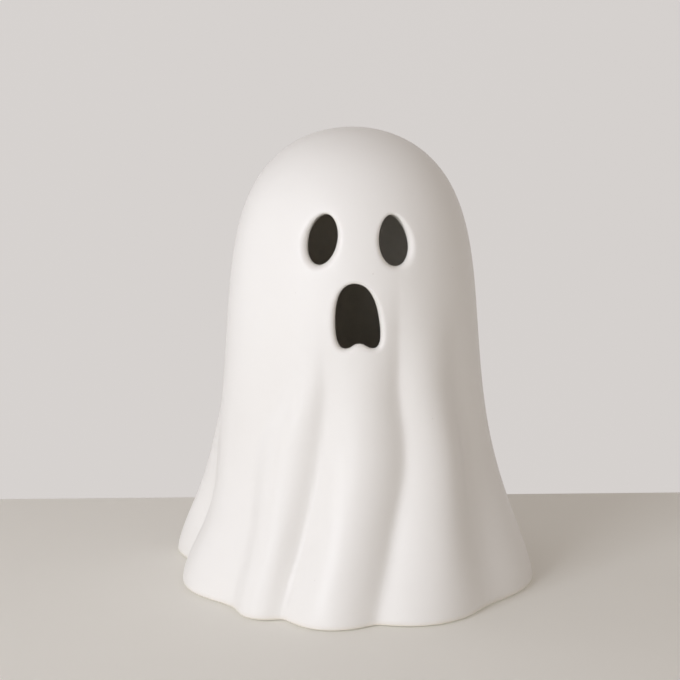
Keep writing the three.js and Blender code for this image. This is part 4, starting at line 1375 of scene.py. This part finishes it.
def makeResistor():
    low, _, middle = nodeBox("resistor")
    half, radius, waist = resistor["half"], resistor["radius"], resistor["waist"]
    cap, neck = half - resistor["cap"], half - resistor["cap"] - resistor["slope"]
    right = [(waist, neck), (radius, cap), (radius, half), (0, half)]
    ends = [(across, -along) for across, along in right[::-1]] + right
    body = moved(turned(rounded(ends, resistor["round"]), 32), aimed((0, 0, resistor["axis"]), (1, 0, 0)))
    reach, bend, top = resistor["reach"], resistor["bend"], resistor["axis"]
    arcs = [
        (reach - bend + bend * math.sin(turn), 0, top - bend + bend * math.cos(turn))
        for turn in np.linspace(0, math.pi / 2, 7)
    ]
    bent = arcs + [(reach, 0, 0.02)]
    lead = wireShape([(-x, y, z) for x, y, z in reversed(bent)] + bent, resistor["lead"])
    mesh = moved(gathered([(body, 0), (lead, 1)]), Matrix.Translation((middle.x, middle.y, low.z)))
    slotFinish["resistor_body"] = resistorLacquer(middle.x)
    smallPiece("led_resistor", mesh, "resistor_body", ["resistor"], second="nickel")


makeResistor()
print("board parts made")


# Wires, stripped at both ends and soldered

leads = {
    "battery_to_switch": {
        "slot": "red_sleeve",
        "route": [
            (24.9, -7.45, 18.7),
            (23.7, -7.45, 18.7),
            (22.3, -13.45, 19.3),
            (18.4, -22.55, 17.5),
            (12.8, -26, 11.25),
            (8, -27, 7.25),
            (6.8, -27, 7.25),
        ],
    },
    "switch_to_board": {
        "slot": "red_sleeve",
        "route": [
            (-6.8, -27, 7.25),
            (-8, -27, 7.25),
            (-11.3, -25.8, 12.25),
            (-11.3, -22.35, 17.5),
            (-10.8, -16.6, 20.3),
            (-10.8, -14.3, 20.3),
        ],
    },
    "battery_to_board": {
        "slot": "black_sleeve",
        "route": [(-24.9, 7.45, 18.7), (-23.9, 7.45, 18.7), (-21.3, 7.45, 20.3), (-20.3, 7.45, 20.3)],
    },
}
leadSizes = {
    "sleeve": 0.6,
    "strands": 0.36,
    "stripped": 0.9,
    "jointGap": 0.28,
    "solder": [(0, 0), (1.0, 0), (0.62, 0.4), (0.46, 1.0), (0, 1.15)],
}
joints = []
for name, lead in leads.items():
    route = routed(lead["route"], 14)
    length = np.concatenate([[0], np.cumsum(np.linalg.norm(np.diff(route, axis=0), axis=1))])
    bared = leadSizes["stripped"]
    covered = route[(length > bared) & (length < length[-1] - bared)]
    sleeve, strands = wireShape(covered, leadSizes["sleeve"], 16), wireShape(route, leadSizes["strands"], 8)
    mesh = gathered([(sleeve, 0), (strands, 1)])
    smallPiece(f"lead_{name}", mesh, lead["slot"], [f"wire_{name}"], keepAngle=60, second="nickel")
    for end, beside in ((route[0], route[1]), (route[-1], route[-2])):
        inward = Vector(beside - end).normalized()
        blob = turned(rounded(leadSizes["solder"], 0.3), 20)
        joints.append((moved(blob, aimed(Vector(end) - inward * leadSizes["jointGap"], inward)), 0))
smallPiece("solder_joints", gathered(joints), "nickel")
print("wires made")


# Table, wall and lights

studio = {
    "table": (0.855, 0.84, 0.793),
    "wall": (0.80, 0.78, 0.76),
    "wallShown": (0.70, 0.672, 0.655),
    "wallShare": 0.8,
    "tableFront": -1600,
    "tableBack": 120,
    "wallDistance": 1100,
    "reach": 2500,
}
lights = {
    "windowKey": {"power": 7.3, "size": (500, 500), "azimuth": -40, "elevation": 24, "distance": 1400},
    "windowSill": {"power": 1.3, "size": (500, 500), "azimuth": -50, "elevation": 4, "distance": 1400},
    "frontFill": {"power": 2.25, "size": (500, 500), "azimuth": -18, "elevation": 4, "distance": 1400},
    "sideFill": {"power": 1.95, "size": (900, 900), "azimuth": -110, "elevation": 8, "distance": 1400},
    "underside": {"power": 4.5, "size": (600, 600), "azimuth": 0, "elevation": -90, "distance": 1400},
}
daylight = (0.895, 0.927, 1.0)
air = {"colour": (1.0, 0.913, 0.846), "strength": 0.46}


def plainPaint(name, colour, grain):
    finish = Finish(name, Specular_IOR_Level=0.25)
    clouds = finish.noise(grain, 3)
    finish.feed("Base Color", finish.mix((clouds - 0.4) * 0.6, colour, dimmed(colour, 0.97)))
    finish.feed("Roughness", 0.75 + (clouds - 0.5) * 0.1)
    finish.relief(finish.noise(1.5, 2) * 0.02)
    return finish


def blended(finish, share, other):  # shows another shader in place of a share of the paint
    shaded = Reading(finish, finish.shader.outputs[0])
    both = finish.node("MixShader", inputs={0: share, 1: shaded, 2: other})
    finish.tree.links.new(both.socket, finish.tree.nodes["Material Output"].inputs["Surface"])
    return finish


def shownPale(finish, colour, share):  # part of what is seen of it is plain colour, which casts no light
    camera, glossy, through = (
        finish.node("LightPath", output=f"Is {ray} Ray") for ray in ("Camera", "Glossy", "Transmission")
    )
    glow = finish.node("Emission", inputs={"Color": rgba(colour), "Strength": 1.0})
    return blended(finish, camera.most(glossy).most(through) * share, glow)


def openFromBelow(finish):  # the underside isn't drawn, and the lamp under the table shines through it
    below = finish.node("NewGeometry", output="Backfacing")
    hidden = below.most(finish.node("LightPath", output="Is Shadow Ray"))
    return blended(finish, hidden, finish.node("BsdfTransparent"))


def stagePanel(name, corners, finish):
    sheet = bmesh.new()
    sheet.faces.new([sheet.verts.new(Vector(corner) * mm) for corner in corners])
    data = bpy.data.meshes.new(name)
    sheet.to_mesh(data)
    sheet.free()
    data.materials.append(finish.material)
    panel = bpy.data.objects.new(name, data)
    bpy.context.scene.collection.objects.link(panel)


def areaLight(name, light, aim=(0, 0, 80)):
    turn, rise = math.radians(light["azimuth"]), math.radians(light["elevation"])
    towards = Vector((math.sin(turn) * math.cos(rise), -math.cos(turn) * math.cos(rise), math.sin(rise)))
    data = bpy.data.lights.new(name, "AREA")
    data.shape, data.energy, data.color = "RECTANGLE", light["power"], daylight
    data.size, data.size_y = (side * mm for side in light["size"])
    lamp = bpy.data.objects.new(name, data)
    bpy.context.scene.collection.objects.link(lamp)
    lamp.rotation_mode = "QUATERNION"
    lamp.rotation_quaternion = towards.to_track_quat("Z", "Y")
    lamp.location = (Vector(aim) + towards * light["distance"]) * mm


front, back, reach, wall = (studio[word] for word in ("tableFront", "tableBack", "reach", "wallDistance"))
tablePaint = openFromBelow(plainPaint("tablePaint", studio["table"], 60))
wallPaint = shownPale(plainPaint("wallPaint", studio["wall"], 90), studio["wallShown"], studio["wallShare"])
tableCorners = [(-reach, front, 0), (reach, front, 0), (reach, back, 0), (-reach, back, 0)]
wallCorners = [(-reach, wall, -reach), (reach, wall, -reach), (reach, wall, reach), (-reach, wall, reach)]
stagePanel("studio_table", tableCorners, tablePaint)
stagePanel("studio_wall", wallCorners, wallPaint)
for name, light in lights.items():
    areaLight(name, light)

world = bpy.data.worlds.new("studioAir")
world.use_nodes = True
world.node_tree.nodes["Background"].inputs["Color"].default_value = (*air["colour"], 1.0)
world.node_tree.nodes["Background"].inputs["Strength"].default_value = air["strength"]
bpy.context.scene.world = world
bpy.context.scene.view_settings.view_transform = "Standard"
print("studio lit")
